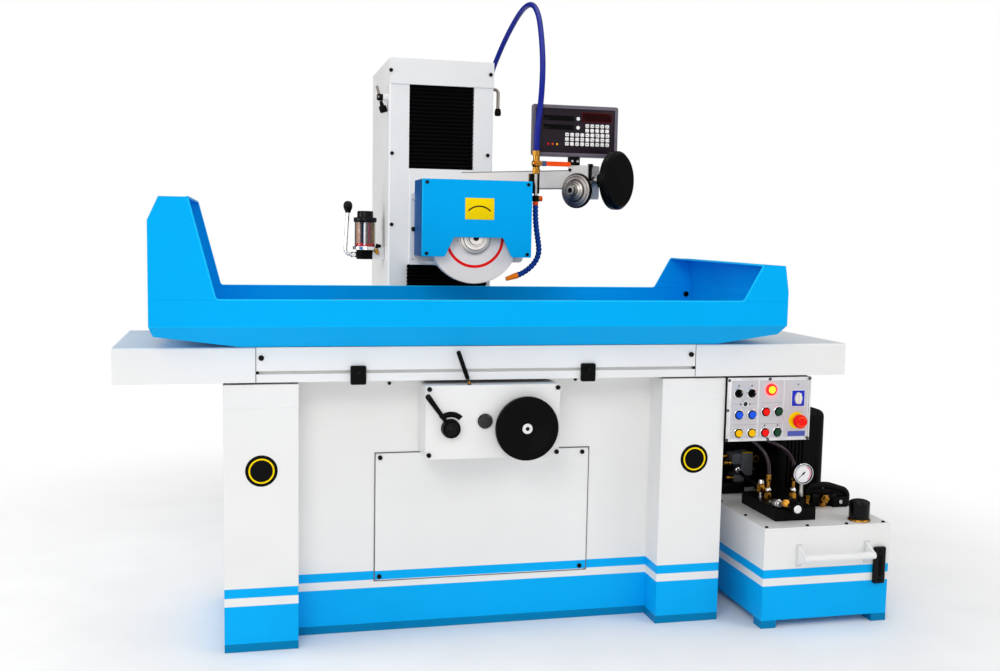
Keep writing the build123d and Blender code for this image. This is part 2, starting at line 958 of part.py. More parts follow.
# Access cover: plain plate with rounded corners over the opening in the bed's front
with BuildPart() as front_access_cover:
    with BuildSketch(front_view(recess_y)):
        with Locations((cover_x, cover_bottom + cover_height / 2)):
            RectangleRounded(cover_width, cover_height, cover_corner)
    extrude(amount=cover_thickness)
front_access_cover.part.label = "front_access_cover"
export_step(front_access_cover.part, "parts/front_access_cover.step")

# Control box: shell open to the bed, with a round plug, the speed lever's scale and the lever pin
with BuildPart() as control_box:
    with BuildSketch(front_view(recess_y)):
        with Locations(((box_left + box_right) / 2, (box_bottom + box_top) / 2)):
            Rectangle(box_right - box_left, box_top - box_bottom)
    extrude(amount=recess_y - box_front)
    fillet(control_box.edges().filter_by(Axis.Y), box_corner)
    back_face = control_box.faces().sort_by(Axis.Y)[-1]
    offset(amount=-box_wall, openings=back_face)
    solid_box(
        (reverse_x - reverse_slot_length / 2, reverse_x + reverse_slot_length / 2),
        (reverse_y - reverse_slot_width / 2, reverse_y + reverse_slot_width / 2),
        (box_top - box_wall, box_top),
        mode=Mode.SUBTRACT,
    )
    with BuildSketch(front_view(reverse_y + reverse_diameter)):
        with Locations((reverse_x, reverse_z)):
            Circle(reverse_pin_diameter / 2)
    extrude(amount=reverse_y + reverse_diameter - box_front - box_wall)
    with BuildSketch(front_view(box_front)):
        with Locations((plug_x, plug_z)):
            Circle(plug_diameter / 2)
    extrude(amount=plug_height)
    with BuildSketch(front_view(box_front)):
        with BuildLine():
            scale_inner = CenterArc(
                (speed_x, speed_z), scale_radius - scale_band / 2, 90 - scale_half_angle, 2 * scale_half_angle
            )
            scale_outer = CenterArc(
                (speed_x, speed_z), scale_radius + scale_band / 2, 90 - scale_half_angle, 2 * scale_half_angle
            )
            Line(scale_inner @ 0, scale_outer @ 0)
            Line(scale_inner @ 1, scale_outer @ 1)
        make_face()
    extrude(amount=scale_height)
    with BuildSketch(front_view(box_front + box_wall)):
        with Locations((speed_x, speed_z)):
            Circle(speed_shaft_diameter / 2 + running_gap)
        with Locations((crossfeed_x, crossfeed_z)):
            Circle(crossfeed_screw_diameter / 2 + running_gap)
    extrude(amount=box_wall, mode=Mode.SUBTRACT)
control_box.part.label = "control_box"
export_step(control_box.part, "parts/control_box.step")

# Speed lever: hub on a short shaft, with a tapered grip that leans to the left
speed_tip = (
    speed_x - speed_lever_length * sin(radians(speed_lever_lean)),
    speed_z + speed_lever_length * cos(radians(speed_lever_lean)),
)
speed_face = box_front - scale_height - loose_gap
speed_direction = Vector(-sin(radians(speed_lever_lean)), 0, cos(radians(speed_lever_lean)))
with BuildPart() as speed_lever:
    with BuildSketch(front_view(box_front + box_wall + speed_shaft_inside)):
        with Locations((speed_x, speed_z)):
            Circle(speed_shaft_diameter / 2)
    extrude(amount=box_front + box_wall + speed_shaft_inside - speed_face + speed_hub_length / 2)
    with BuildSketch(front_view(speed_face)):
        with Locations((speed_x, speed_z)):
            Circle(speed_hub_diameter / 2)
    extrude(amount=speed_hub_length, taper=speed_hub_taper)
    with BuildSketch(
        Plane(
            origin=(speed_x, speed_face - speed_hub_length / 2, speed_z),
            x_dir=(0, 1, 0),
            z_dir=(speed_direction.X, 0, speed_direction.Z),
        )
    ):
        Circle(speed_lever_root / 2)
    with BuildSketch(
        Plane(
            origin=(speed_tip[0], speed_face - speed_hub_length / 2, speed_tip[1]),
            x_dir=(0, 1, 0),
            z_dir=(speed_direction.X, 0, speed_direction.Z),
        )
    ):
        Circle(speed_lever_tip / 2)
    loft()
speed_lever.part.label = "speed_lever"
export_step(speed_lever.part, "parts/speed_lever.step")

# Reversing lever: hub on the box's pin and a round rod through the slot in the box's top
with BuildPart() as reversing_lever:
    with BuildSketch(front_view(reverse_y + reverse_diameter / 2)):
        with Locations((reverse_x, reverse_z)):
            Circle(reverse_hub_diameter / 2)
    extrude(amount=reverse_diameter)
    with BuildSketch(
        Plane(
            origin=(reverse_x, reverse_y, reverse_z),
            x_dir=(0, 1, 0),
            z_dir=(-sin(radians(reverse_lean)), 0, cos(radians(reverse_lean))),
        )
    ):
        Circle(reverse_diameter / 2)
    extrude(amount=reverse_length)
    with BuildSketch(front_view(reverse_y + reverse_diameter)):
        with Locations((reverse_x, reverse_z)):
            Circle(reverse_pin_diameter / 2 + running_gap)
    extrude(amount=2 * reverse_diameter, mode=Mode.SUBTRACT)
reversing_lever.part.label = "reversing_lever"
export_step(reversing_lever.part, "parts/reversing_lever.step")

# Handwheel section: a dished disc with a rounded rim
handwheel_section = [
    (0, 0),
    (handwheel_diameter / 2 - handwheel_rim, 0),
    (handwheel_diameter / 2, 0),
    (handwheel_diameter / 2, handwheel_thickness),
    (handwheel_diameter / 2 - handwheel_rim, handwheel_thickness),
    (handwheel_washer_diameter, handwheel_thickness - handwheel_dish),
    (0, handwheel_thickness - handwheel_dish),
]

# Crossfeed handwheel: solid disc on a hub, with a clamping washer in the middle
crossfeed_disc_back = box_front - crossfeed_hub_length
with BuildPart() as crossfeed_handwheel:
    with BuildSketch(
        Plane(origin=(crossfeed_x, crossfeed_disc_back, crossfeed_z), x_dir=(1, 0, 0), z_dir=(0, 0, 1))
    ):
        with BuildLine():
            Polyline([(r, -h) for r, h in handwheel_section], close=True)
        make_face()
    revolve(axis=Axis((crossfeed_x, crossfeed_disc_back, crossfeed_z), (0, 1, 0)))
    fillet(crossfeed_handwheel.edges().filter_by(GeomType.CIRCLE).group_by(SortBy.RADIUS)[-1], handwheel_edge)
    with BuildSketch(front_view(box_front - loose_gap)):
        with Locations((crossfeed_x, crossfeed_z)):
            Circle(handwheel_hub_diameter / 2)
    extrude(amount=crossfeed_hub_length - loose_gap)
    with BuildSketch(front_view(box_front)):
        with Locations((crossfeed_x, crossfeed_z)):
            Circle(crossfeed_screw_diameter / 2)
    extrude(amount=crossfeed_hub_length, mode=Mode.SUBTRACT)
    with BuildSketch(front_view(crossfeed_disc_back - handwheel_thickness + handwheel_dish)):
        with Locations((crossfeed_x, crossfeed_z)):
            Circle(handwheel_washer_diameter / 2)
    extrude(amount=handwheel_washer_thickness)
crossfeed_handwheel.part.label = "crossfeed_handwheel"
export_step(crossfeed_handwheel.part, "parts/crossfeed_handwheel.step")

# Crossfeed screw: runs from the handwheel under the column to the end of the rear bed
with BuildPart() as crossfeed_screw:
    with BuildSketch(front_view(rear_bed_end)):
        with Locations((crossfeed_x, crossfeed_z)):
            Circle(crossfeed_screw_diameter / 2)
    extrude(amount=rear_bed_end - crossfeed_disc_back)
crossfeed_screw.part.label = "crossfeed_screw"
export_step(crossfeed_screw.part, "parts/crossfeed_screw.step")

# Electrical panel: sheet box on the bed's right end, closed by a plate with bezels and rings, and the
# switch cabinet behind it
with BuildPart() as panel_box:
    solid_box(
        (panel_left, panel_right),
        (panel_front + panel_plate, panel_front + panel_plate + panel_box_depth),
        (panel_bottom, panel_top),
    )
    solid_box(
        (panel_left + panel_box_sheet, panel_right - panel_box_sheet),
        (panel_front + panel_plate, panel_front + panel_plate + panel_box_depth - panel_box_sheet),
        (panel_bottom + panel_box_sheet, panel_top - panel_box_sheet),
        mode=Mode.SUBTRACT,
    )
    solid_box(
        (bed_end, bed_end + cabinet_width),
        (cabinet_front, cabinet_front + cabinet_depth),
        (cabinet_bottom, cabinet_bottom + cabinet_height),
    )
    solid_box(
        (bed_end, bed_end + cabinet_width - cabinet_sheet),
        (cabinet_front + cabinet_sheet, cabinet_front + cabinet_depth - cabinet_sheet),
        (cabinet_bottom + cabinet_sheet, cabinet_bottom + cabinet_height - cabinet_sheet),
        mode=Mode.SUBTRACT,
    )
panel_box.part.label = "panel_box"
export_step(panel_box.part, "parts/panel_box.step")

with BuildPart() as panel_plate_part:
    with BuildSketch(front_view(panel_front + panel_plate)):
        with Locations(((panel_plate_left + panel_right) / 2, (panel_bottom + panel_top) / 2)):
            Rectangle(panel_right - panel_plate_left, panel_top - panel_bottom)
    extrude(amount=panel_plate)
    with BuildSketch(front_view(panel_front)):
        with Locations(*button_places):
            Circle(button_diameter / 2 + loose_gap + button_bezel_width)
            Circle(button_diameter / 2 + loose_gap, mode=Mode.SUBTRACT)
    extrude(amount=button_bezel_height)
    with BuildSketch(front_view(panel_front)):
        with Locations(lamp_place):
            Circle(lamp_diameter / 2)
    extrude(amount=lamp_collar_height)
    with BuildSketch(front_view(panel_front - lamp_collar_height)):
        with Locations(lamp_place):
            Circle(lamp_diameter / 2 - lamp_collar_width)
    extrude(amount=lamp_height, taper=lamp_taper)
    with BuildSketch(front_view(panel_front)):
        with Locations(switch_place):
            Rectangle(switch_plate_width, switch_plate_height)
    extrude(amount=switch_plate_thickness)
    with BuildSketch(front_view(panel_front)):
        with Locations(stop_place):
            Circle(stop_disc_diameter / 2)
    extrude(amount=stop_disc_thickness)
    with BuildSketch(front_view(panel_front + panel_plate)):
        with Locations(*button_places, *knob_places, switch_place, stop_place):
            Circle(button_stem_diameter / 2 + running_gap)
    extrude(amount=2 * panel_plate + switch_plate_thickness, mode=Mode.SUBTRACT)
panel_plate_part.part.label = "panel_plate"
export_step(panel_plate_part.part, "parts/panel_plate.step")

# Push buttons: cap in its bezel on a stem through the plate
for (button_name, *_), button_place in zip(push_buttons, button_places):
    with BuildPart() as push_button:
        with BuildSketch(front_view(panel_front + panel_plate + button_stem_length)):
            with Locations(button_place):
                Circle(button_stem_diameter / 2)
        extrude(amount=button_stem_length + panel_plate + button_lift)
        with BuildSketch(front_view(panel_front - button_lift)):
            with Locations(button_place):
                Circle(button_diameter / 2)
        extrude(amount=button_height)
        fillet(push_button.faces().sort_by(Axis.Y)[0].edges(), button_edge)
    push_button.part.label = button_name
    export_step(push_button.part, f"parts/{button_name}.step")

# Rotary knobs: round base with a grip bar across it
for (knob_name, *_), knob_place in zip(rotary_knobs, knob_places):
    with BuildPart() as rotary_knob:
        with BuildSketch(front_view(panel_front + panel_plate + button_stem_length)):
            with Locations(knob_place):
                Circle(button_stem_diameter / 2)
        extrude(amount=button_stem_length + panel_plate + loose_gap)
        with BuildSketch(front_view(panel_front - loose_gap)):
            with Locations(knob_place):
                Circle(knob_diameter / 2)
        extrude(amount=knob_height)
        with BuildSketch(front_view(panel_front - loose_gap - knob_height)):
            with Locations(knob_place):
                SlotOverall(knob_grip_length, knob_grip_width, rotation=knob_rest_angle)
        extrude(amount=knob_grip_height, taper=knob_grip_taper)
    rotary_knob.part.label = knob_name
    export_step(rotary_knob.part, f"parts/{knob_name}.step")

# Main switch: round knob with a grip bar on its square plate
switch_face = panel_front - switch_plate_thickness - loose_gap
with BuildPart() as main_switch:
    with BuildSketch(front_view(panel_front + panel_plate + button_stem_length)):
        with Locations(switch_place):
            Circle(button_stem_diameter / 2)
    extrude(amount=panel_front + panel_plate + button_stem_length - switch_face)
    with BuildSketch(front_view(switch_face)):
        with Locations(switch_place):
            Circle(switch_knob_diameter / 2)
    extrude(amount=knob_height)
    with BuildSketch(front_view(switch_face - knob_height)):
        with Locations(switch_place):
            SlotOverall(switch_grip_length, switch_grip_width, rotation=switch_rest_angle)
    extrude(amount=knob_grip_height, taper=switch_grip_taper)
main_switch.part.label = "main_switch"
export_step(main_switch.part, "parts/main_switch.step")

# Emergency stop: mushroom on a collar and stem
stop_face = panel_front - stop_disc_thickness - stop_lift
with BuildPart() as emergency_stop:
    with BuildSketch(front_view(panel_front + panel_plate + button_stem_length)):
        with Locations(stop_place):
            Circle(button_stem_diameter / 2)
    extrude(amount=panel_front + panel_plate + button_stem_length - stop_face)
    with BuildSketch(front_view(stop_face)):
        with Locations(stop_place):
            Circle(stop_collar_diameter / 2)
    extrude(amount=stop_collar_height)
    with BuildSketch(front_view(stop_face - stop_collar_height)):
        with Locations(stop_place):
            Circle(stop_mushroom_diameter / 2)
    extrude(amount=stop_mushroom_height)
    fillet(emergency_stop.faces().sort_by(Axis.Y)[0].edges(), stop_mushroom_height / 2)
emergency_stop.part.label = "emergency_stop"
export_step(emergency_stop.part, "parts/emergency_stop.step")

# Table cylinder: barrel with two flanged caps, each on a foot in the bed's channel
with BuildPart() as table_cylinder:
    with BuildSketch(side_view(table_x - cylinder_half)):
        with Locations((0, cylinder_z)):
            Circle(cylinder_outer)
    extrude(amount=2 * cylinder_half)
    for cap_start in (table_x - cylinder_half, table_x + cylinder_half - cylinder_cap):
        with BuildSketch(side_view(cap_start)):
            with Locations((0, cylinder_z)):
                Circle(cylinder_cap_diameter / 2)
            with Locations((0, (channel_floor + cylinder_z) / 2)):
                Rectangle(cylinder_foot_width, cylinder_z - channel_floor)
        extrude(amount=cylinder_cap)
    with BuildSketch(side_view(table_x - cylinder_half + cylinder_cap)):
        with Locations((0, cylinder_z)):
            Circle(cylinder_bore / 2)
    extrude(amount=2 * (cylinder_half - cylinder_cap), mode=Mode.SUBTRACT)
    with BuildSketch(side_view(table_x - cylinder_half)):
        with Locations((0, cylinder_z)):
            Circle(rod_diameter / 2 + running_gap)
    extrude(amount=2 * cylinder_half, mode=Mode.SUBTRACT)
table_cylinder.part.label = "table_cylinder"
export_step(table_cylinder.part, "parts/table_cylinder.step")

# Piston rod: runs out of both ends of the barrel to the table's lugs
with BuildPart() as piston_rod:
    with BuildSketch(side_view(table_x - table_end)):
        with Locations((0, cylinder_z)):
            Circle(rod_diameter / 2)
    extrude(amount=2 * table_end)
    with BuildSketch(side_view(table_x - piston_length / 2)):
        with Locations((0, cylinder_z)):
            Circle(cylinder_bore / 2 - running_gap)
    extrude(amount=piston_length)
piston_rod.part.label = "piston_rod"
export_step(piston_rod.part, "parts/piston_rod.step")

# Table: working top with T-slots on a longer body that rides the vee way and the flat way
with BuildPart() as table_casting:
    solid_box((table_x - table_end, table_x + table_end), (rail_back, -rail_back), (table_bottom, end_top))
    solid_box((rail_left, rail_right), (rail_back, -rail_back), (end_top, trough_floor))
    solid_box(
        (table_x - table_length / 2, table_x + table_length / 2),
        (-table_width / 2, table_width / 2),
        (trough_floor, table_top),
    )
    with BuildSketch(side_view(table_x - table_end)):
        with BuildLine():
            Polyline(
                vee_profile(-way_y, vee_base_width, vee_crest_width, bed_top, way_height, slide_gap),
                close=True,
            )
        make_face()
        with Locations((way_y, bed_top + (way_height + slide_gap) / 2)):
            Rectangle(flat_way_width + 2 * flat_way_side_gap, way_height + slide_gap)
        with Locations((0, table_bottom + (cylinder_outer + table_tunnel_top) / 2)):
            Rectangle(cylinder_cap_diameter + 2 * table_tunnel_side, cylinder_outer + table_tunnel_top)
    extrude(amount=2 * table_end, mode=Mode.SUBTRACT)
    for pocket_x in range(-2, 3):
        for pocket_y in (-table_pocket_y, table_pocket_y):
            middle_x = table_x + pocket_x * table_pocket_pitch
            solid_box(
                (middle_x - table_pocket_length / 2, middle_x + table_pocket_length / 2),
                (pocket_y - table_pocket_width / 2, pocket_y + table_pocket_width / 2),
                (table_bottom, table_pocket_top if abs(pocket_x) < 2 else end_top - table_pocket_roof),
                mode=Mode.SUBTRACT,
            )
    for lug_start in (table_x - table_end, table_x + lug_inner):
        with BuildSketch(side_view(lug_start)):
            with Locations((0, (cylinder_z - lug_drop + end_top) / 2)):
                Rectangle(lug_width, end_top - cylinder_z + lug_drop)
            with Locations((0, cylinder_z)):
                Circle(rod_diameter / 2 + running_gap, mode=Mode.SUBTRACT)
        extrude(amount=lug_thickness)
    with BuildSketch(side_view(table_x - table_length / 2)):
        with Locations(*[(row * table_slot_spacing, table_top - table_slot_depth / 2) for row in (-1, 0, 1)]):
            Rectangle(table_slot_width, table_slot_depth)
        with Locations(
            *[
                (row * table_slot_spacing, table_top - table_slot_depth + table_slot_foot_height / 2)
                for row in (-1, 0, 1)
            ]
        ):
            Rectangle(table_slot_foot_width, table_slot_foot_height)
    extrude(amount=table_length, mode=Mode.SUBTRACT)
table_casting.part.label = "table_casting"
export_step(table_casting.part, "parts/table_casting.step")

# Front rail: flat bar along the table's front with a T-slot groove for the trip dogs
with BuildPart() as front_rail:
    solid_box((rail_left, rail_right), (rail_front, rail_back), (table_bottom, rail_top))
    solid_box(
        (rail_left, rail_right),
        (rail_front, rail_front + rail_groove_lip),
        (rail_groove_z - rail_groove_width / 2, rail_groove_z + rail_groove_width / 2),
        mode=Mode.SUBTRACT,
    )
    solid_box(
        (rail_left, rail_right),
        (rail_front + rail_groove_lip, rail_front + rail_groove_lip + rail_groove_foot_depth),
        (rail_groove_z - rail_groove_foot / 2, rail_groove_z + rail_groove_foot / 2),
        mode=Mode.SUBTRACT,
    )
front_rail.part.label = "front_rail"
export_step(front_rail.part, "parts/front_rail.step")

# Way covers: folded sheet boxes, open below and towards the table, with end walls cut out round the ways
for cover_name, cover_outer, cover_inner in (
    ("left_way_cover", way_cover_left, rail_left),
    ("right_way_cover", way_cover_right, rail_right),
):
    outward = 1 if cover_outer > cover_inner else -1
    with BuildPart() as way_cover:
        solid_box(
            sorted((cover_outer, cover_inner)),
            (-cover_half_depth, cover_half_depth),
            (table_bottom, rail_top),
        )
        fillet(way_cover.edges().filter_by(Axis.X).sort_by(Axis.Z)[-2:], way_cover_bend)
        solid_box(
            sorted((cover_outer - outward * way_cover_sheet, cover_inner)),
            (-cover_half_depth + way_cover_sheet, cover_half_depth - way_cover_sheet),
            (table_bottom, end_top),
            mode=Mode.SUBTRACT,
        )
        with BuildSketch(side_view(min(cover_outer, cover_inner))):
            with BuildLine():
                Polyline(
                    vee_profile(-way_y, vee_base_width, vee_crest_width, bed_top, way_height, way_cover_gap),
                    close=True,
                )
            make_face()
            with Locations((way_y, bed_top + (way_height + way_cover_gap) / 2)):
                Rectangle(flat_way_width + 2 * flat_way_side_gap, way_height + way_cover_gap)
        extrude(amount=abs(cover_outer - cover_inner), mode=Mode.SUBTRACT)
    way_cover.part.label = cover_name
    export_step(way_cover.part, f"parts/{cover_name}.step")

# Splash trough: folded sheet with sloping lower walls, and a roofed hood seated on each end of its rim
trough_outline = [
    (trough_floor_left, trough_floor),
    (trough_left + left_end_lean, trough_floor + trough_end_rise),
    (trough_left, trough_fold),
    (trough_left, left_hood_shoulder),
    (left_hood_roof_out, left_hood_top),
    (left_hood_roof_in, left_hood_top),
    (left_hood_foot, trough_rim),
    (right_hood_foot, trough_rim),
    (right_hood_roof_in, right_hood_top),
    (right_hood_roof_out, right_hood_top),
    (trough_right, right_hood_shoulder),
    (trough_right, trough_fold),
    (trough_right - right_end_lean, trough_floor + trough_end_rise),
    (trough_floor_right, trough_floor),
]
trough_hollow = [
    (trough_floor_left, trough_floor + trough_sheet),
    (trough_left + left_end_lean + trough_sheet, trough_floor + trough_end_rise + trough_sheet),
    (trough_left + trough_sheet, trough_fold),
    (trough_left + trough_sheet, left_hood_shoulder),
    (left_hood_roof_out + trough_sheet, left_hood_top - trough_sheet),
    (left_hood_foot, left_hood_top - trough_sheet),
    (right_hood_foot, right_hood_top - trough_sheet),
    (right_hood_roof_out - trough_sheet, right_hood_top - trough_sheet),
    (trough_right - trough_sheet, right_hood_shoulder),
    (trough_right - trough_sheet, trough_fold),
    (trough_right - right_end_lean - trough_sheet, trough_floor + trough_end_rise + trough_sheet),
    (trough_floor_right, trough_floor + trough_sheet),
]


def trough_section(inset):
    """Points of the trough's cross-section, drawn in by the sheet's thickness."""
    half = trough_depth / 2 - inset
    floor_half = trough_floor_width / 2 - inset
    return [
        (-floor_half, trough_floor),
        (-half, trough_fold),
        (-half, left_hood_top),
        (half, left_hood_top),
        (half, trough_fold),
        (floor_half, trough_floor),
    ]


with BuildPart(mode=Mode.PRIVATE) as trough_inside:
    with BuildSketch(front_view(trough_depth / 2)):
        with BuildLine():
            Polyline(trough_hollow, close=True)
        make_face()
    extrude(amount=trough_depth)
    with BuildSketch(side_view(trough_left)):
        with BuildLine():
            Polyline(trough_section(trough_sheet), close=True)
        make_face()
    extrude(amount=trough_right - trough_left, mode=Mode.INTERSECT)

with BuildPart() as splash_trough:
    with BuildSketch(front_view(trough_depth / 2)):
        with BuildLine():
            Polyline(trough_outline, close=True)
        make_face()
    extrude(amount=trough_depth)
    with BuildSketch(side_view(trough_left)):
        with BuildLine():
            Polyline(trough_section(0), close=True)
        make_face()
    extrude(amount=trough_right - trough_left, mode=Mode.INTERSECT)
    add(trough_inside.part, mode=Mode.SUBTRACT)
    solid_box(
        (table_x - table_length / 2 - loose_gap, table_x + table_length / 2 + loose_gap),
        (-table_width / 2 - loose_gap, table_width / 2 + loose_gap),
        (trough_floor, trough_floor + trough_sheet),
        mode=Mode.SUBTRACT,
    )
    split(bisect_by=Plane.XY.offset(trough_rim), keep=Keep.BOTH)
splash_trough.part.label = "splash_trough"
export_step(splash_trough.part, "parts/splash_trough.step")

# Trip dogs: plates that clamp in the rail's groove and reach below it to strike the lever
for dog_name, dog_x in (("trip_dog_left", dog_left_x), ("trip_dog_right", dog_right_x)):
    dog_back = rail_front - slide_gap
    neck_height = rail_groove_width - 2 * slide_gap
    foot_height = rail_groove_foot - 2 * slide_gap
    foot_front = rail_front + rail_groove_lip + slide_gap
    with BuildPart() as trip_dog:
        with BuildSketch(front_view(dog_back)):
            with Locations((dog_x, dog_bottom + dog_height / 2)):
                RectangleRounded(dog_width, dog_height, dog_corner)
        extrude(amount=dog_thickness - slide_gap)
        solid_box(
            (dog_x - dog_neck_width / 2, dog_x + dog_neck_width / 2),
            (dog_back - dog_thickness / 2, foot_front),
            (rail_groove_z - neck_height / 2, rail_groove_z + neck_height / 2),
        )
        solid_box(
            (dog_x - dog_neck_width / 2, dog_x + dog_neck_width / 2),
            (foot_front, foot_front + rail_groove_foot_depth - 2 * slide_gap),
            (rail_groove_z - foot_height / 2, rail_groove_z + foot_height / 2),
        )
    trip_dog.part.label = dog_name
    export_step(trip_dog.part, f"parts/{dog_name}.step")

# Column: hollow tower on a saddle, with a tall opening for the head, a cap plate and a crossfeed nut
with BuildPart() as column_casting:
    solid_box(
        (column_x - saddle_width / 2, column_x + saddle_width / 2),
        (saddle_front, saddle_back),
        (saddle_bottom, column_base_z),
    )
    fillet(column_casting.edges().filter_by(Axis.Z), saddle_corner)
    with BuildSketch(Plane.XY.offset(column_base_z)):
        with Locations((column_x, column_front + column_depth / 2)):
            RectangleRounded(column_width, column_depth, column_corner)
    extrude(amount=column_top - column_base_z)
    solid_box(
        (column_left + column_wall, column_right - column_wall),
        (column_front + column_wall, column_rear - column_wall),
        (column_base_z, column_top - column_wall),
        mode=Mode.SUBTRACT,
    )
    solid_box(
        (column_x - column_opening_width / 2, column_x + column_opening_width / 2),
        (column_front, column_front + column_wall),
        (column_opening_bottom, opening_top),
        mode=Mode.SUBTRACT,
    )
    solid_box(
        (column_left, column_right),
        (column_front - column_cap_plate, column_front),
        (opening_top, column_top),
    )
    with BuildSketch(front_view(saddle_back)):
        with BuildLine():
            Polyline(
                vee_profile(
                    column_x - rear_way_spacing / 2,
                    vee_base_width,
                    vee_crest_width,
                    rear_bed_top,
                    way_height,
                    slide_gap,
                ),
                close=True,
            )
        make_face()
        with Locations((column_x + rear_way_spacing / 2, rear_bed_top + (way_height + slide_gap) / 2)):
            Rectangle(flat_way_width + 2 * flat_way_side_gap, way_height + slide_gap)
    extrude(amount=saddle_back - saddle_front, mode=Mode.SUBTRACT)
    nut_bottom = crossfeed_z - crossfeed_nut_width / 2
    solid_box(
        (crossfeed_x - crossfeed_nut_width / 2, crossfeed_x + crossfeed_nut_width / 2),
        (crossfeed_nut_y - crossfeed_nut_length / 2, crossfeed_nut_y + crossfeed_nut_length / 2),
        (nut_bottom, saddle_bottom),
    )
    with BuildSketch(front_view(crossfeed_nut_y + crossfeed_nut_length / 2)):
        with Locations((crossfeed_x, crossfeed_z)):
            Circle(crossfeed_screw_diameter / 2 + running_gap)
    extrude(amount=crossfeed_nut_length, mode=Mode.SUBTRACT)
    journal_radius = elevating_journal_diameter / 2 + running_gap
    with BuildSketch(Plane.XY.offset(column_top - column_wall)):
        with Locations(elevating_screw_place):
            Circle(journal_radius)
    extrude(amount=elevating_journal_length + loose_gap, mode=Mode.SUBTRACT)
    with BuildSketch(Plane.XY.offset(column_base_z)):
        with Locations(elevating_screw_place):
            Circle(journal_radius)
    extrude(amount=-elevating_journal_length - loose_gap, mode=Mode.SUBTRACT)
    with BuildSketch(Plane.XY.offset(hose_gland_z)):
        with Locations((gland_x, hose_gland_y)):
            Circle(hose_gland_diameter / 2)
        with Locations(((column_right + gland_x) / 2, hose_gland_y)):
            Rectangle(hose_gland_reach, hose_gland_diameter)
    extrude(amount=hose_gland_height)
    with BuildSketch(side_view(column_left)):
        with Locations((clamp_y, left_clamp_z)):
            Circle(left_clamp_hub_diameter / 2)
    extrude(amount=-left_clamp_boss_length)
    with BuildSketch(side_view(column_left)):
        with Locations((clamp_y, left_clamp_z)):
            Circle(left_clamp_pin_diameter / 2)
    extrude(amount=-left_clamp_boss_length - left_clamp_hub_length / 2)
    with BuildSketch(side_view(column_right)):
        with Locations((clamp_y, right_clamp_z)):
            Circle(right_clamp_boss_diameter / 2)
    extrude(amount=right_clamp_boss_length)
    with BuildSketch(side_view(column_right - right_clamp_bore_depth)):
        with Locations((clamp_y, right_clamp_z)):
            Circle(right_clamp_rod_diameter / 2 + running_gap)
    extrude(amount=right_clamp_bore_depth + right_clamp_boss_length, mode=Mode.SUBTRACT)
column_casting.part.label = "column_casting"
export_step(column_casting.part, "parts/column_casting.step")

# Left clamp lever: hub on the column's pin, with a rod up and a knob on a neck below
left_hub_start = column_left - left_clamp_boss_length - loose_gap
left_hub_x = left_hub_start - left_clamp_hub_length / 2
left_clamp_up = Vector(-sin(radians(left_clamp_lean)), 0, cos(radians(left_clamp_lean)))
left_clamp_knob = Vector(left_hub_x, clamp_y, left_clamp_z) - left_clamp_up * left_clamp_neck_length
with BuildPart() as clamp_lever_left:
    with BuildSketch(side_view(left_hub_start)):
        with Locations((clamp_y, left_clamp_z)):
            Circle(left_clamp_hub_diameter / 2)
    extrude(amount=-left_clamp_hub_length)
    fillet(clamp_lever_left.faces().sort_by(Axis.X)[0].edges(), left_clamp_hub_edge)
    with BuildSketch(Plane(origin=tuple(left_clamp_knob), x_dir=(0, 1, 0), z_dir=tuple(left_clamp_up))):
        Circle(left_clamp_rod_diameter / 2)
    extrude(amount=left_clamp_neck_length + left_clamp_rod_length)
    with BuildSketch(Plane(origin=tuple(left_clamp_knob), x_dir=(0, 1, 0), z_dir=tuple(left_clamp_up))):
        Circle(clamp_knob_diameter / 2)
    with BuildSketch(
        Plane(
            origin=tuple(left_clamp_knob + left_clamp_up * clamp_knob_length),
            x_dir=(0, 1, 0),
            z_dir=tuple(left_clamp_up),
        )
    ):
        Circle(clamp_knob_neck / 2)
    loft()
    with BuildSketch(side_view(left_hub_start)):
        with Locations((clamp_y, left_clamp_z)):
            Circle(left_clamp_pin_diameter / 2 + running_gap)
    extrude(amount=-left_clamp_hub_length / 2 - loose_gap, mode=Mode.SUBTRACT)
clamp_lever_left.part.label = "clamp_lever_left"
export_step(clamp_lever_left.part, "parts/clamp_lever_left.step")

# Right clamp lever: rod that turns in the column's boss, bent down to a tapered knob
right_clamp_x = column_right + right_clamp_reach
right_knob_z = right_clamp_z - right_clamp_drop
right_rod_start = column_right - right_clamp_bore_depth + loose_gap
with BuildPart() as clamp_lever_right:
    with BuildLine(front_view(clamp_y)):
        FilletPolyline(
            (right_rod_start, right_clamp_z),
            (right_clamp_x, right_clamp_z),
            (right_clamp_x, right_knob_z),
            radius=right_clamp_bend,
        )
    with BuildSketch(side_view(right_rod_start)):
        with Locations((clamp_y, right_clamp_z)):
            Circle(right_clamp_rod_diameter / 2)
    sweep()
    with BuildSketch(Plane.XY.offset(right_knob_z)):
        with Locations((right_clamp_x, clamp_y)):
            Circle(right_clamp_knob_diameter / 2)
    with BuildSketch(Plane.XY.offset(right_knob_z + clamp_knob_length)):
        with Locations((right_clamp_x, clamp_y)):
            Circle(clamp_knob_neck / 2)
    loft()
clamp_lever_right.part.label = "clamp_lever_right"
export_step(clamp_lever_right.part, "parts/clamp_lever_right.step")

# Elevating screw: turns between the saddle and the column's top, through the head's nut
with BuildPart() as elevating_screw:
    with BuildSketch(Plane.XY.offset(column_base_z + loose_gap)):
        with Locations(elevating_screw_place):
            Circle(elevating_screw_diameter / 2)
    extrude(amount=column_top - column_wall - column_base_z - 2 * loose_gap)
    with BuildSketch(Plane.XY.offset(column_base_z - elevating_journal_length)):
        with Locations(elevating_screw_place):
            Circle(elevating_journal_diameter / 2)
    extrude(amount=column_top - column_wall - column_base_z + 2 * elevating_journal_length)
elevating_screw.part.label = "elevating_screw"
export_step(elevating_screw.part, "parts/elevating_screw.step")


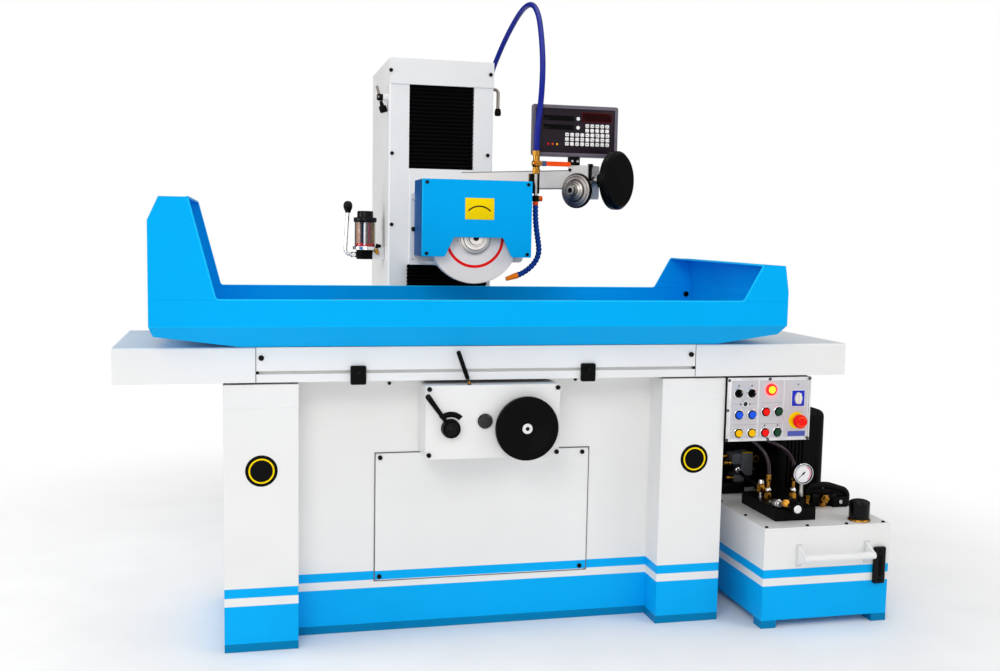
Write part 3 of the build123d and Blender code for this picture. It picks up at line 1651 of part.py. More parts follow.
def bellows_line(bottom, top, depth, front):
    """Zigzag of a bellows in section, from bottom to top, with whole folds."""
    folds = round((top - bottom) / bellows_pitch)
    pitch = (top - bottom) / folds
    steps = range(2 * folds + 1)
    return [(front + (depth - bellows_sheet) * (step % 2), bottom + step * pitch / 2) for step in steps]


# Bellows over the column's ways: pleated sheets above and below the head
for bellows_name, bellows_left, bellows_right, bellows_front, bellows_reach, bellows_low, bellows_high in (
    (
        "upper_bellows",
        column_x - column_opening_width / 2 + bellows_side_gap,
        column_x + column_opening_width / 2 - bellows_side_gap,
        column_front + bellows_setback,
        bellows_depth,
        head_block_top,
        opening_top,
    ),
    (
        "lower_bellows",
        column_x - lower_bellows_left_reach,
        column_x + lower_bellows_right_reach,
        head_block_front,
        lower_bellows_depth,
        column_base_z,
        head_block_bottom,
    ),
):
    zigzag = bellows_line(bellows_low, bellows_high, bellows_reach, bellows_front)
    with BuildPart() as bellows:
        with BuildSketch(side_view(bellows_left)):
            with BuildLine():
                Polyline(zigzag + [(y + bellows_sheet, z) for y, z in reversed(zigzag)], close=True)
            make_face()
        extrude(amount=bellows_right - bellows_left)
    bellows.part.label = bellows_name
    export_step(bellows.part, f"parts/{bellows_name}.step")

# Lubricator: pump base on a bracket, with a ring that carries the cup
lubricator_ring_z = lubricator_base_z + lubricator_base_height
lubricator_cup_z = lubricator_ring_z + lubricator_ring_height
lubricator_cap_z = lubricator_cup_z + lubricator_cup_height
lubricator_x, lubricator_y = lubricator_place
lever_ear_front = lubricator_y + pump_lever_diameter / 2 + pump_lever_ear_gap
with BuildPart() as lubricator_pump:
    with BuildSketch(Plane.XY.offset(lubricator_base_z)):
        with Locations(lubricator_place):
            Circle(lubricator_base_diameter / 2)
    extrude(amount=lubricator_base_height)
    with BuildSketch(Plane.XY.offset(lubricator_ring_z)):
        with Locations(lubricator_place):
            Circle(lubricator_ring_diameter / 2)
    extrude(amount=lubricator_ring_height)
    solid_box(
        (lubricator_x, column_left),
        (lubricator_y - lubricator_bracket_width / 2, lubricator_y + lubricator_bracket_width / 2),
        (lubricator_cup_z - lubricator_bracket_height, lubricator_cup_z),
    )
    solid_box(
        (pump_lever_pivot_x - pump_lever_ear / 2, lubricator_x),
        (lever_ear_front, lever_ear_front + pump_lever_ear_thickness),
        (pump_lever_pivot_z - pump_lever_ear / 2, pump_lever_pivot_z + pump_lever_ear / 2),
    )
    with BuildSketch(front_view(lever_ear_front + pump_lever_ear_thickness / 2)):
        with Locations((pump_lever_pivot_x, pump_lever_pivot_z)):
            Circle(pump_lever_pin_diameter / 2)
    extrude(amount=pump_lever_ear_thickness / 2 + pump_lever_diameter + 2 * pump_lever_ear_gap)
lubricator_pump.part.label = "lubricator_pump"
export_step(lubricator_pump.part, "parts/lubricator_pump.step")

# Lubricator cup: clear cylinder closed by its screwed cap
with BuildPart() as lubricator_cup:
    with BuildSketch(Plane.XY.offset(lubricator_cup_z)):
        with Locations(lubricator_place):
            Circle(lubricator_cup_diameter / 2)
            Circle(lubricator_cup_diameter / 2 - lubricator_cup_wall, mode=Mode.SUBTRACT)
    extrude(amount=lubricator_cup_height)
    with BuildSketch(Plane.XY.offset(lubricator_cap_z)):
        with Locations(lubricator_place):
            Circle(lubricator_cap_diameter / 2)
    extrude(amount=lubricator_cap_height)
    with BuildSketch(Plane.XY.offset(lubricator_cap_z + lubricator_cap_height)):
        with Locations(lubricator_place):
            Circle(lubricator_knob_diameter / 2)
    extrude(amount=lubricator_knob_height)
    fillet(lubricator_cup.faces().sort_by(Axis.Z)[-1].edges(), lubricator_knob_edge)
lubricator_cup.part.label = "lubricator_cup"
export_step(lubricator_cup.part, "parts/lubricator_cup.step")

# Lubricator lever: hub, bent rod and ball knob
lever_bend_x = pump_lever_pivot_x - pump_lever_reach
pump_ball_z = pump_lever_top + pump_ball_diameter / 2 - pump_ball_sink
with BuildPart() as lubricator_lever:
    with BuildLine(front_view(lubricator_y)) as lever_line:
        FilletPolyline(
            (pump_lever_pivot_x, pump_lever_pivot_z),
            (lever_bend_x, pump_lever_pivot_z),
            (lever_bend_x + pump_lever_lean, pump_lever_top),
            radius=pump_lever_bend,
        )
    with BuildSketch(Plane(origin=lever_line.line @ 0, z_dir=lever_line.line % 0)):
        Circle(pump_lever_diameter / 2)
    sweep()
    with Locations((lever_bend_x + pump_lever_lean, lubricator_y, pump_ball_z)):
        Sphere(pump_ball_diameter / 2)
    with BuildSketch(front_view(lubricator_y + pump_lever_diameter / 2)):
        with Locations((pump_lever_pivot_x, pump_lever_pivot_z)):
            Circle(pump_lever_hub_diameter / 2)
    extrude(amount=pump_lever_diameter)
    with BuildSketch(front_view(lubricator_y + pump_lever_diameter)):
        with Locations((pump_lever_pivot_x, pump_lever_pivot_z)):
            Circle(pump_lever_pin_diameter / 2 + running_gap)
    extrude(amount=2 * pump_lever_diameter, mode=Mode.SUBTRACT)
lubricator_lever.part.label = "lubricator_lever"
export_step(lubricator_lever.part, "parts/lubricator_lever.step")

# Spindle head: slide block in the column's opening, keeper behind its front wall, housing and flange plate
keeper_front = column_front + column_wall + slide_gap
keeper_back = keeper_front + head_keeper_depth
with BuildPart() as spindle_head:
    with BuildSketch(front_view(keeper_front)):
        with Locations((column_x, (head_block_bottom + head_block_top) / 2)):
            Rectangle(column_opening_width - 2 * slide_gap, head_block_top - head_block_bottom)
    extrude(amount=keeper_front - head_block_front)
    solid_box(
        (column_x - head_keeper_width / 2, column_x + head_keeper_width / 2),
        (keeper_front, keeper_back),
        (head_block_bottom + head_keeper_inset, head_block_top - head_keeper_inset),
    )
    with BuildSketch(front_view(head_block_front)):
        with Locations((column_x, (housing_bottom + housing_top) / 2)):
            RectangleRounded(housing_width, housing_top - housing_bottom, housing_corner)
    extrude(amount=head_block_front - guard_back)
    with BuildSketch(front_view(guard_back + flange_plate_thickness)):
        with Locations(
            ((flange_plate_left + flange_plate_right) / 2, (flange_plate_bottom + flange_plate_top) / 2)
        ):
            RectangleRounded(
                flange_plate_right - flange_plate_left,
                flange_plate_top - flange_plate_bottom,
                flange_plate_corner,
            )
    extrude(amount=flange_plate_thickness)
    with BuildSketch(front_view(keeper_back)):
        with Locations((column_x, spindle_z)):
            Circle(spindle_diameter / 2 + running_gap)
    extrude(amount=keeper_back - guard_back, mode=Mode.SUBTRACT)
    solid_box(
        (column_x - housing_width / 2 + housing_wall, column_x + housing_width / 2 - housing_wall),
        (guard_back + bearing_length, keeper_back),
        (spindle_z + bearing_wall, housing_top - housing_wall),
        mode=Mode.SUBTRACT,
    )
    with BuildSketch(Plane.XY.offset(head_block_bottom)):
        with Locations(elevating_screw_place):
            Circle(elevating_screw_diameter / 2 + running_gap)
    extrude(amount=head_block_top - head_block_bottom, mode=Mode.SUBTRACT)
spindle_head.part.label = "spindle_head"
export_step(spindle_head.part, "parts/spindle_head.step")

# Spindle motor: behind the head, inside the column, round the end of the spindle
with BuildPart() as spindle_motor:
    with BuildSketch(front_view(keeper_back + motor_length)):
        with Locations((column_x, spindle_z)):
            Circle(motor_diameter / 2)
    extrude(amount=motor_length)
    fillet(spindle_motor.faces().sort_by(Axis.Y)[-1].edges(), motor_edge)
    with BuildSketch(front_view(keeper_back + motor_length / 2)):
        with Locations((column_x, spindle_z)):
            Circle(spindle_diameter / 2 + running_gap)
    extrude(amount=motor_length / 2, mode=Mode.SUBTRACT)
spindle_motor.part.label = "spindle_motor"
export_step(spindle_motor.part, "parts/spindle_motor.step")

# Spindle: stepped shaft with the wheel's two flanges and the nut on its nose, turned in one section
wheel_back = wheel_front + wheel_width
spindle_end = keeper_back + motor_length / 2 - spindle_end_gap
spindle_section = [
    (0, wheel_front - flange_thickness - spindle_nut_length),
    (spindle_nut_diameter / 2, wheel_front - flange_thickness - spindle_nut_length),
    (spindle_nut_diameter / 2, wheel_front - flange_thickness - flange_step),
    (flange_step_diameter / 2, wheel_front - flange_thickness - flange_step),
    (flange_step_diameter / 2, wheel_front - flange_thickness),
    (flange_diameter / 2, wheel_front - flange_thickness + flange_step),
    (flange_diameter / 2, wheel_front),
    (wheel_bore / 2, wheel_front),
    (wheel_bore / 2, wheel_back),
    (flange_diameter / 2, wheel_back),
    (flange_diameter / 2, wheel_back + flange_thickness),
    (spindle_diameter / 2, wheel_back + flange_thickness),
    (spindle_diameter / 2, spindle_end),
    (0, spindle_end),
]
with BuildPart() as spindle_shaft:
    with BuildSketch(Plane(origin=(column_x, 0, spindle_z), x_dir=(1, 0, 0), z_dir=(0, 0, 1))):
        with BuildLine():
            Polyline(spindle_section, close=True)
        make_face()
    revolve(axis=Axis((column_x, 0, spindle_z), (0, 1, 0)))
spindle_shaft.part.label = "spindle_shaft"
export_step(spindle_shaft.part, "parts/spindle_shaft.step")

# Grinding wheel: plain wheel held between the flanges
with BuildPart() as grinding_wheel:
    with BuildSketch(front_view(wheel_back)):
        with Locations((column_x, spindle_z)):
            Circle(wheel_diameter / 2)
            Circle(wheel_bore / 2, mode=Mode.SUBTRACT)
    extrude(amount=wheel_width)
    chamfer(grinding_wheel.edges().filter_by(GeomType.CIRCLE).group_by(SortBy.RADIUS)[-1], wheel_edge)
grinding_wheel.part.label = "grinding_wheel"
export_step(grinding_wheel.part, "parts/grinding_wheel.step")

# Wheel guard: sheet box open below and in front, closed by a cover with a cut-out for the wheel
cover_back = guard_front + guard_sheet
with BuildPart() as wheel_guard:
    with BuildSketch(front_view(guard_back)):
        with Locations(((guard_left + guard_right) / 2, (guard_bottom + guard_top) / 2)):
            Rectangle(guard_right - guard_left, guard_top - guard_bottom)
    extrude(amount=guard_back - cover_back)
    fillet(wheel_guard.edges().filter_by(Axis.Y).sort_by(Axis.Z)[-2:], guard_corner)
    solid_box(
        (guard_left + guard_sheet, guard_right - guard_sheet),
        (cover_back, guard_back - guard_sheet),
        (guard_bottom, guard_top - guard_sheet),
        mode=Mode.SUBTRACT,
    )
    with BuildSketch(front_view(guard_back)):
        with Locations((column_x, spindle_z)):
            Circle(guard_bore / 2)
    extrude(amount=guard_sheet, mode=Mode.SUBTRACT)
wheel_guard.part.label = "wheel_guard"
export_step(wheel_guard.part, "parts/wheel_guard.step")

with BuildPart() as guard_cover:
    with BuildSketch(front_view(cover_back)):
        with Locations(((guard_left + guard_right) / 2, (guard_bottom + guard_top) / 2)):
            RectangleRounded(guard_right - guard_left, guard_top - guard_bottom, guard_corner)
        with BuildLine():
            Polyline(
                (cutout_x - cutout_bottom_half, guard_bottom),
                (cutout_x - cutout_top_half, guard_bottom + cutout_height),
                (cutout_x + cutout_top_half, guard_bottom + cutout_height),
                (cutout_x + cutout_bottom_half, guard_bottom),
                close=True,
            )
        make_face(mode=Mode.SUBTRACT)
    extrude(amount=guard_sheet)
    cutout_edges = guard_cover.edges().filter_by(Axis.Y).filter_by_position(
        Axis.X, guard_left + 2 * guard_corner, guard_right - 2 * guard_corner
    )
    fillet(cutout_edges, cutout_corner)
guard_cover.part.label = "guard_cover"
export_step(guard_cover.part, "parts/guard_cover.step")

# Elevating arm: beam that stands on the housing and points forward to the gearbox
arm_start = elevating_centre - arm_forward * ((arm_start_y - elevating_wheel_y) / cos(radians(arm_angle)))
arm_length = (arm_start_y - elevating_wheel_y) / cos(radians(arm_angle)) - gearbox_gap - gearbox_length
with BuildPart() as elevating_arm:
    with BuildSketch(
        Plane(
            origin=(arm_start.X, arm_start.Y, housing_top + arm_height / 2),
            x_dir=-arm_side,
            z_dir=arm_forward,
        )
    ):
        RectangleRounded(arm_width, arm_height, arm_corner)
    extrude(amount=arm_length)
elevating_arm.part.label = "elevating_arm"
export_step(elevating_arm.part, "parts/elevating_arm.step")

# Gearbox at the arm's end, with a boss for the handwheel's shaft and a bracket for the readout
with BuildPart() as elevating_gearbox:
    gearbox_middle_z = (gearbox_bottom + gearbox_top) / 2
    with BuildSketch(arm_plane(gearbox_gap + gearbox_length, 0, gearbox_middle_z)):
        RectangleRounded(gearbox_width, gearbox_top - gearbox_bottom, gearbox_corner)
    extrude(amount=gearbox_length)
    with BuildSketch(arm_plane(gearbox_gap, 0, elevating_wheel_z)):
        Circle(gearbox_boss_diameter / 2)
    extrude(amount=gearbox_boss_length, taper=gearbox_boss_taper)
    solid_box(
        (bracket_x - bracket_width / 2, bracket_x + bracket_width / 2),
        (bracket_y - bracket_depth / 2, bracket_y + bracket_depth / 2),
        (gearbox_top - bracket_sink, readout_bottom),
    )
    with BuildSketch(arm_plane(gearbox_gap + gearbox_length / 2, 0, elevating_wheel_z)):
        Circle(elevating_shaft_diameter / 2 + running_gap)
    extrude(amount=gearbox_length / 2 + gearbox_boss_length, mode=Mode.SUBTRACT)
    with BuildSketch(
        Plane(origin=(gearbox_middle.X, gearbox_middle.Y, dial_z), x_dir=arm_forward, z_dir=arm_side)
    ):
        Circle(dial_shaft_diameter / 2 + running_gap)
    extrude(amount=gearbox_width, mode=Mode.SUBTRACT)
elevating_gearbox.part.label = "elevating_gearbox"
export_step(elevating_gearbox.part, "parts/elevating_gearbox.step")

# Elevating handwheel: solid disc with a domed face, on its shaft
wheel_radius = elevating_wheel_diameter / 2
elevating_wheel_section = [
    (0, handwheel_thickness),
    (wheel_radius, handwheel_thickness),
    (wheel_radius, elevating_wheel_edge - elevating_wheel_bulge),
    (wheel_radius - elevating_wheel_edge, -elevating_wheel_bulge),
    (0, -elevating_wheel_bulge - elevating_wheel_crown),
]
wheel_turn_plane = Plane(origin=tuple(elevating_centre), x_dir=-arm_side, z_dir=(0, 0, 1))
with BuildPart() as elevating_handwheel:
    with BuildSketch(wheel_turn_plane):
        with BuildLine():
            Polyline(elevating_wheel_section, close=True)
        make_face()
    revolve(axis=Axis(tuple(elevating_centre), tuple(arm_forward)))
    fillet(elevating_handwheel.edges().filter_by(GeomType.CIRCLE).group_by(SortBy.RADIUS)[-1], handwheel_edge)
    wheel_hub_length = gearbox_gap - handwheel_thickness - gearbox_boss_length - loose_gap
    with BuildSketch(arm_plane(handwheel_thickness + wheel_hub_length, 0, elevating_wheel_z)):
        Circle(handwheel_hub_diameter / 2)
    extrude(amount=wheel_hub_length)
    shaft_back = gearbox_gap + gearbox_length / 2 - elevating_shaft_gap
    with BuildSketch(arm_plane(shaft_back, 0, elevating_wheel_z)):
        Circle(elevating_shaft_diameter / 2)
    extrude(amount=shaft_back - handwheel_thickness)
elevating_handwheel.part.label = "elevating_handwheel"
export_step(elevating_handwheel.part, "parts/elevating_handwheel.step")

# Dial: conical graduated disc with a hub and nut, on a shaft in the gearbox's side
dial_face = gearbox_width / 2 + loose_gap
dial_end = dial_face + dial_thickness + dial_cone_height + dial_nut_length
dial_section = [
    (0, dial_shaft_gap),
    (dial_shaft_diameter / 2, dial_shaft_gap),
    (dial_shaft_diameter / 2, dial_face),
    (dial_diameter / 2, dial_face),
    (dial_diameter / 2, dial_face + dial_ring_thickness),
    (dial_disc_diameter / 2, dial_face + dial_ring_thickness),
    (dial_disc_diameter / 2, dial_face + dial_thickness),
    (dial_step_diameter / 2, dial_face + dial_thickness + dial_bevel_height),
    (dial_step_diameter / 2, dial_face + dial_thickness + dial_bevel_height + dial_step_height),
    (dial_hub_diameter / 2, dial_face + dial_thickness + dial_cone_height),
    (dial_nut_diameter / 2, dial_face + dial_thickness + dial_cone_height),
    (dial_nut_diameter / 2, dial_end),
    (dial_socket_diameter / 2, dial_end),
    (dial_socket_diameter / 2, dial_end - dial_socket_depth),
    (0, dial_end - dial_socket_depth),
]
with BuildPart() as elevating_dial:
    with BuildSketch(
        Plane(origin=(gearbox_middle.X, gearbox_middle.Y, dial_z), x_dir=arm_forward, z_dir=(0, 0, -1))
    ):
        with BuildLine():
            Polyline(dial_section, close=True)
        make_face()
    revolve(axis=Axis((gearbox_middle.X, gearbox_middle.Y, dial_z), tuple(arm_side)))
elevating_dial.part.label = "elevating_dial"
export_step(elevating_dial.part, "parts/elevating_dial.step")

# Digital readout: bezel with a raised frame round its recessed face, and a narrower body behind it
with BuildPart() as readout:
    with BuildSketch(front_view(readout_front + readout_bezel)):
        with Locations(((readout_left + readout_right) / 2, (readout_bottom + readout_top) / 2)):
            RectangleRounded(readout_right - readout_left, readout_top - readout_bottom, readout_corner)
    extrude(amount=readout_bezel)
    fillet(readout.faces().sort_by(Axis.Y)[0].edges(), readout_edge)
    solid_box(
        (readout_left + readout_body_inset, readout_right - readout_body_inset),
        (readout_front + readout_bezel, readout_front + readout_depth),
        (readout_bottom, readout_top - readout_body_inset),
    )
    with BuildSketch(front_view(readout_front + readout_recess)):
        with Locations(((readout_left + readout_right) / 2, (readout_bottom + readout_top) / 2)):
            Rectangle(
                readout_width - 2 * readout_frame,
                readout_height - 2 * readout_frame,
            )
    extrude(amount=readout_recess, mode=Mode.SUBTRACT)
readout.part.label = "digital_readout"
export_step(readout.part, "parts/digital_readout.step")

# Coolant valve: ball valve on its pipe, held to the guard by a bracket, with a clip for the nozzle hose
with BuildPart() as coolant_valve:
    with BuildSketch(Plane.XY.offset(valve_bottom)):
        with Locations((valve_x, valve_y)):
            Circle(valve_diameter / 2)
    extrude(amount=valve_length)
    for nut_start in (valve_bottom, valve_top - valve_nut_length):
        with BuildSketch(Plane.XY.offset(nut_start)):
            with Locations((valve_x, valve_y)):
                RegularPolygon(valve_nut_diameter / 2, 6)
        extrude(amount=valve_nut_length)
    with Locations((valve_x, valve_y, valve_stem_z)):
        Sphere(valve_ball_diameter / 2)
    with BuildSketch(front_view(valve_y)):
        with Locations((valve_x, valve_stem_z)):
            Circle(valve_stem_diameter / 2)
    extrude(amount=valve_stem_length)
    with BuildSketch(Plane.XY.offset(pipe_bottom)):
        with Locations((valve_x, valve_y)):
            Circle(pipe_diameter / 2)
    extrude(amount=valve_bottom - pipe_bottom)
    solid_box(
        (guard_right, valve_x + pipe_clip_diameter / 2),
        (valve_y, valve_y + pipe_bracket_depth),
        (pipe_bracket_bottom, pipe_bracket_top),
    )
    with BuildSketch(Plane.XY.offset(pipe_clip_bottom)):
        with Locations((valve_x, valve_y)):
            Circle(pipe_clip_diameter / 2)
    extrude(amount=pipe_bottom - pipe_clip_bottom)
    with BuildSketch(side_view(valve_x)):
        with Locations((valve_y, (pipe_bottom + pipe_clip_bottom) / 2)):
            Circle(pipe_knob_diameter / 2)
    extrude(amount=pipe_clip_diameter / 2 + pipe_knob_length)
    with BuildSketch(Plane.XY.offset(pipe_clip_bottom)):
        with Locations((valve_x, valve_y)):
            Circle(nozzle_neck_diameter / 2 + running_gap)
    extrude(amount=nozzle_spigot + loose_gap, mode=Mode.SUBTRACT)
coolant_valve.part.label = "coolant_valve"
export_step(coolant_valve.part, "parts/coolant_valve.step")

# Valve lever: flat grip that turns on the valve's stem
lever_back = valve_y - valve_ball_diameter / 2 - loose_gap
with BuildPart() as valve_lever:
    with BuildSketch(front_view(lever_back)):
        with Locations((valve_x, valve_stem_z)):
            Circle(valve_lever_eye / 2)
        with Locations((valve_x + valve_lever_length / 2, valve_stem_z)):
            RectangleRounded(valve_lever_length, valve_lever_width, valve_lever_corner)
        with Locations((valve_x, valve_stem_z)):
            Circle(valve_stem_diameter / 2 + running_gap, mode=Mode.SUBTRACT)
    extrude(amount=valve_lever_thickness)
valve_lever.part.label = "valve_lever"
export_step(valve_lever.part, "parts/valve_lever.step")

# Nozzle: chain of ball segments along a bend, with a tapered tip
nozzle_path = [(valve_x, valve_y, pipe_clip_bottom)] + [
    (valve_x + across, valve_y, pipe_clip_bottom - down) for across, down in nozzle_bends
]
with BuildPart(mode=Mode.PRIVATE) as nozzle_guide:
    with BuildLine() as nozzle_line:
        Spline([Vector(*point) for point in nozzle_path], tangents=[(0, 0, -1), (-0.9, 0, -0.3)])
nozzle_curve = nozzle_line.edge()
ball_count = int(nozzle_curve.length / nozzle_ball_pitch)
ball_places = [nozzle_curve @ ((step + 0.5) / ball_count) for step in range(ball_count)]
nozzle_end = nozzle_curve @ 1
nozzle_aim = nozzle_curve % 1
with BuildPart() as coolant_nozzle:
    with BuildSketch(Plane.XY.offset(pipe_clip_bottom + nozzle_spigot)):
        with Locations((valve_x, valve_y)):
            Circle(nozzle_neck_diameter / 2)
    extrude(amount=-nozzle_spigot - nozzle_neck_length)
    with Locations(*ball_places[1:]):
        Sphere(nozzle_ball_diameter / 2)
    with BuildSketch(Plane(origin=nozzle_end, z_dir=nozzle_aim)):
        Circle(nozzle_neck_diameter / 2)
    with BuildSketch(Plane(origin=nozzle_end + nozzle_aim * nozzle_tip_length, z_dir=nozzle_aim)):
        Circle(nozzle_tip_diameter / 2)
    loft()
coolant_nozzle.part.label = "coolant_nozzle"
export_step(coolant_nozzle.part, "parts/coolant_nozzle.step")

# Coolant hose: from the gland on the column's side over to the valve
hose_radii = corner_radii(hose_route)
with BuildPart() as coolant_hose:
    with BuildLine() as hose_line:
        FilletPolyline(*hose_route, radius=hose_radii)
    with BuildSketch(Plane(origin=hose_line.line @ 0, z_dir=hose_line.line % 0)):
        Circle(hose_diameter / 2)
    sweep()
coolant_hose.part.label = "coolant_hose"
export_step(coolant_hose.part, "parts/coolant_hose.step")
print("coolant hose radii", [round(radius) for radius in hose_radii])
print("coolant hose length", round(hose_line.wire().length), "volume", round(coolant_hose.part.volume))
print("section times length", round(pi * hose_diameter**2 / 4 * hose_line.wire().length))

# Hydraulic tank: sheet box on four feet, with a bar handle welded to its front
with BuildPart() as tank_body:
    solid_box((tank_left, tank_right), (tank_front, tank_back), (tank_foot_height, tank_top))
    solid_box(
        (tank_left + tank_sheet, tank_right - tank_sheet),
        (tank_front + tank_sheet, tank_back - tank_sheet),
        (tank_foot_height + tank_sheet, tank_top),
        mode=Mode.SUBTRACT,
    )
    for foot_x in (tank_left, tank_right - tank_foot_width):
        for foot_y in (tank_front, tank_back - tank_foot_width):
            solid_box(
                (foot_x, foot_x + tank_foot_width), (foot_y, foot_y + tank_foot_width), (0, tank_foot_height)
            )
    for post_x in (handle_x - handle_length / 2, handle_x + handle_length / 2 - handle_plate):
        with BuildSketch(side_view(post_x)):
            with BuildLine():
                Polyline(
                    (tank_front, handle_z - handle_foot_height / 2),
                    (tank_front, handle_z + handle_foot_height / 2),
                    (tank_front - handle_stand, handle_z + handle_bar / 2),
                    (tank_front - handle_stand, handle_z - handle_bar / 2),
                    close=True,
                )
            make_face()
        extrude(amount=handle_plate)
    with BuildSketch(side_view(handle_x - handle_length / 2)):
        with Locations((tank_front - handle_stand, handle_z)):
            Circle(handle_bar / 2)
    extrude(amount=handle_length)
tank_body.part.label = "tank_body"
export_step(tank_body.part, "parts/tank_body.step")

with BuildPart() as tank_lid_part:
    with BuildSketch(Plane.XY.offset(tank_top)):
        with Locations(((tank_left + tank_right) / 2, (tank_front + tank_back) / 2)):
            Rectangle(tank_right - tank_left, tank_back - tank_front)
    extrude(amount=tank_lid)
tank_lid_part.part.label = "tank_lid"
export_step(tank_lid_part.part, "parts/tank_lid.step")

# Manifold: drilled block on the lid
with BuildPart() as valve_manifold:
    solid_box((manifold_left, manifold_right), (manifold_front, manifold_back), (lid_top, manifold_top))
    fillet(valve_manifold.edges().filter_by(Axis.Z), manifold_corner)
valve_manifold.part.label = "valve_manifold"
export_step(valve_manifold.part, "parts/valve_manifold.step")

# Fittings that stand on the tank: hose fittings, gauge, relief valve, filler cap, level gauge, check valve
with BuildPart() as tank_fittings:
    for route in oil_hose_routes:
        with BuildSketch(Plane.XY.offset(manifold_top)):
            with Locations((route[0][0], route[0][1])):
                RegularPolygon(fitting_diameter / 2, 6)
        extrude(amount=route[0][2] - manifold_top)
        with BuildSketch(side_view(bed_end)):
            with Locations((route[-1][1], route[-1][2])):
                RegularPolygon(port_diameter / 2, 6)
        extrude(amount=port_reach)
    with BuildSketch(Plane.XY.offset(manifold_top)):
        with Locations((manifold_left + stub_offset, manifold_front + stub_setback)):
            RegularPolygon(stub_diameter / 2, 6)
    extrude(amount=stub_height)
    solid_box(
        (relief_place[0] - relief_body_width / 2, relief_place[0] + relief_body_width / 2),
        (manifold_front, manifold_front + relief_body_depth),
        (manifold_top, manifold_top + relief_body_height),
    )
    with BuildSketch(Plane.XY.offset(manifold_top)):
        with Locations((gauge_x, gauge_y)):
            Circle(gauge_stem_diameter / 2)
    extrude(amount=gauge_z - gauge_diameter / 4 - manifold_top)
    with BuildSketch(front_view(gauge_y + gauge_depth / 2)):
        with Locations((gauge_x, gauge_z)):
            Circle(gauge_diameter / 2)
    extrude(amount=gauge_depth)
    with BuildSketch(front_view(gauge_y - gauge_depth / 2 + gauge_recess)):
        with Locations((gauge_x, gauge_z)):
            Circle(gauge_diameter / 2 - gauge_rim)
    extrude(amount=gauge_recess, mode=Mode.SUBTRACT)
    with BuildSketch(front_view(manifold_front)):
        with Locations(relief_place):
            Circle(relief_neck_diameter / 2)
    extrude(amount=relief_neck_length)
    with BuildSketch(front_view(manifold_front - relief_neck_length)):
        with Locations(relief_place):
            Circle(relief_diameter / 2)
    extrude(amount=relief_length)
    with BuildSketch(Plane.XY.offset(lid_top)):
        with Locations(filler_place):
            Circle(filler_base_diameter / 2)
    extrude(amount=filler_base_height)
    with BuildSketch(Plane.XY.offset(lid_top + filler_base_height)):
        with Locations(filler_place):
            Circle(filler_diameter / 2)
    extrude(amount=filler_height - filler_base_height)
    filler_edges = tank_fittings.edges().filter_by(GeomType.CIRCLE).filter_by_position(
        Axis.Z, lid_top + filler_height - loose_gap, lid_top + filler_height + loose_gap
    )
    fillet(filler_edges, filler_edge)
    solid_box(
        (level_x - level_width / 2, level_x + level_width / 2),
        (tank_front - level_depth, tank_front),
        (level_z - level_height / 2, level_z + level_height / 2),
    )
    chamfer(tank_fittings.faces().sort_by(Axis.Y)[0].edges(), level_edge)
    with BuildSketch(side_view(check_valve_x - check_valve_length / 2)):
        with Locations((check_valve_y, check_valve_z)):
            Circle(check_valve_diameter / 2)
    extrude(amount=check_valve_length)
    with BuildSketch(Plane.XY.offset(lid_top)):
        with Locations((check_valve_x, check_valve_y)):
            RegularPolygon(fitting_diameter / 2, 6)
    extrude(amount=check_valve_z - lid_top)
tank_fittings.part.label = "tank_fittings"
export_step(tank_fittings.part, "parts/tank_fittings.step")

# Pump motor: rounded housing standing on the lid, with cooling grooves in its front and back
with BuildPart() as pump_motor:
    with BuildSketch(Plane.XY.offset(lid_top)):
        with Locations(pump_place):
            RectangleRounded(pump_flange_width, pump_flange_depth, pump_corner)
    extrude(amount=pump_flange_height)
    with BuildSketch(Plane.XY.offset(lid_top)):
        with Locations(pump_place):
            RectangleRounded(pump_motor_width, pump_motor_depth, pump_corner)
    extrude(amount=pump_motor_top - lid_top)
    fillet(pump_motor.faces().sort_by(Axis.Z)[-1].edges(), pump_cowl_edge)
    groove_bottom = lid_top + pump_flange_height + pump_groove_margin
    groove_top = pump_motor_top - pump_cowl_height
    for groove in range(pump_groove_count):
        groove_x = pump_place[0] - pump_motor_width / 2 + pump_corner + groove * pump_groove_pitch
        for face_y in (pump_place[1] - pump_motor_depth / 2, pump_place[1] + pump_motor_depth / 2):
            solid_box(
                (groove_x, groove_x + pump_groove_width),
                (face_y - pump_groove_depth, face_y + pump_groove_depth),
                (groove_bottom, groove_top),
                mode=Mode.SUBTRACT,
            )
pump_motor.part.label = "pump_motor"
export_step(pump_motor.part, "parts/pump_motor.step")

# Oil hoses: from the manifold's fittings up and over to the ports on the bed's end
with BuildPart() as oil_hoses:
    for route in oil_hose_routes:
        with BuildLine() as oil_line:
            FilletPolyline(*route, radius=corner_radii(route))
        with BuildSketch(Plane(origin=oil_line.line @ 0, z_dir=oil_line.line % 0)) as oil_section:
            Circle(oil_hose_diameter / 2)
        sweep(sections=oil_section.sketch, path=oil_line.wire())
        print("oil hose length", round(oil_line.wire().length))
        print("oil hose radii", [round(radius) for radius in corner_radii(route)])
oil_hoses.part.label = "oil_hoses"
export_step(oil_hoses.part, "parts/oil_hoses.step")
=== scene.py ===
"""Looks of the hydraulic surface grinder: paint, castings, hoses, gauges and small fittings."""

import math

import bmesh
import bpy
from mathutils import Matrix, Vector


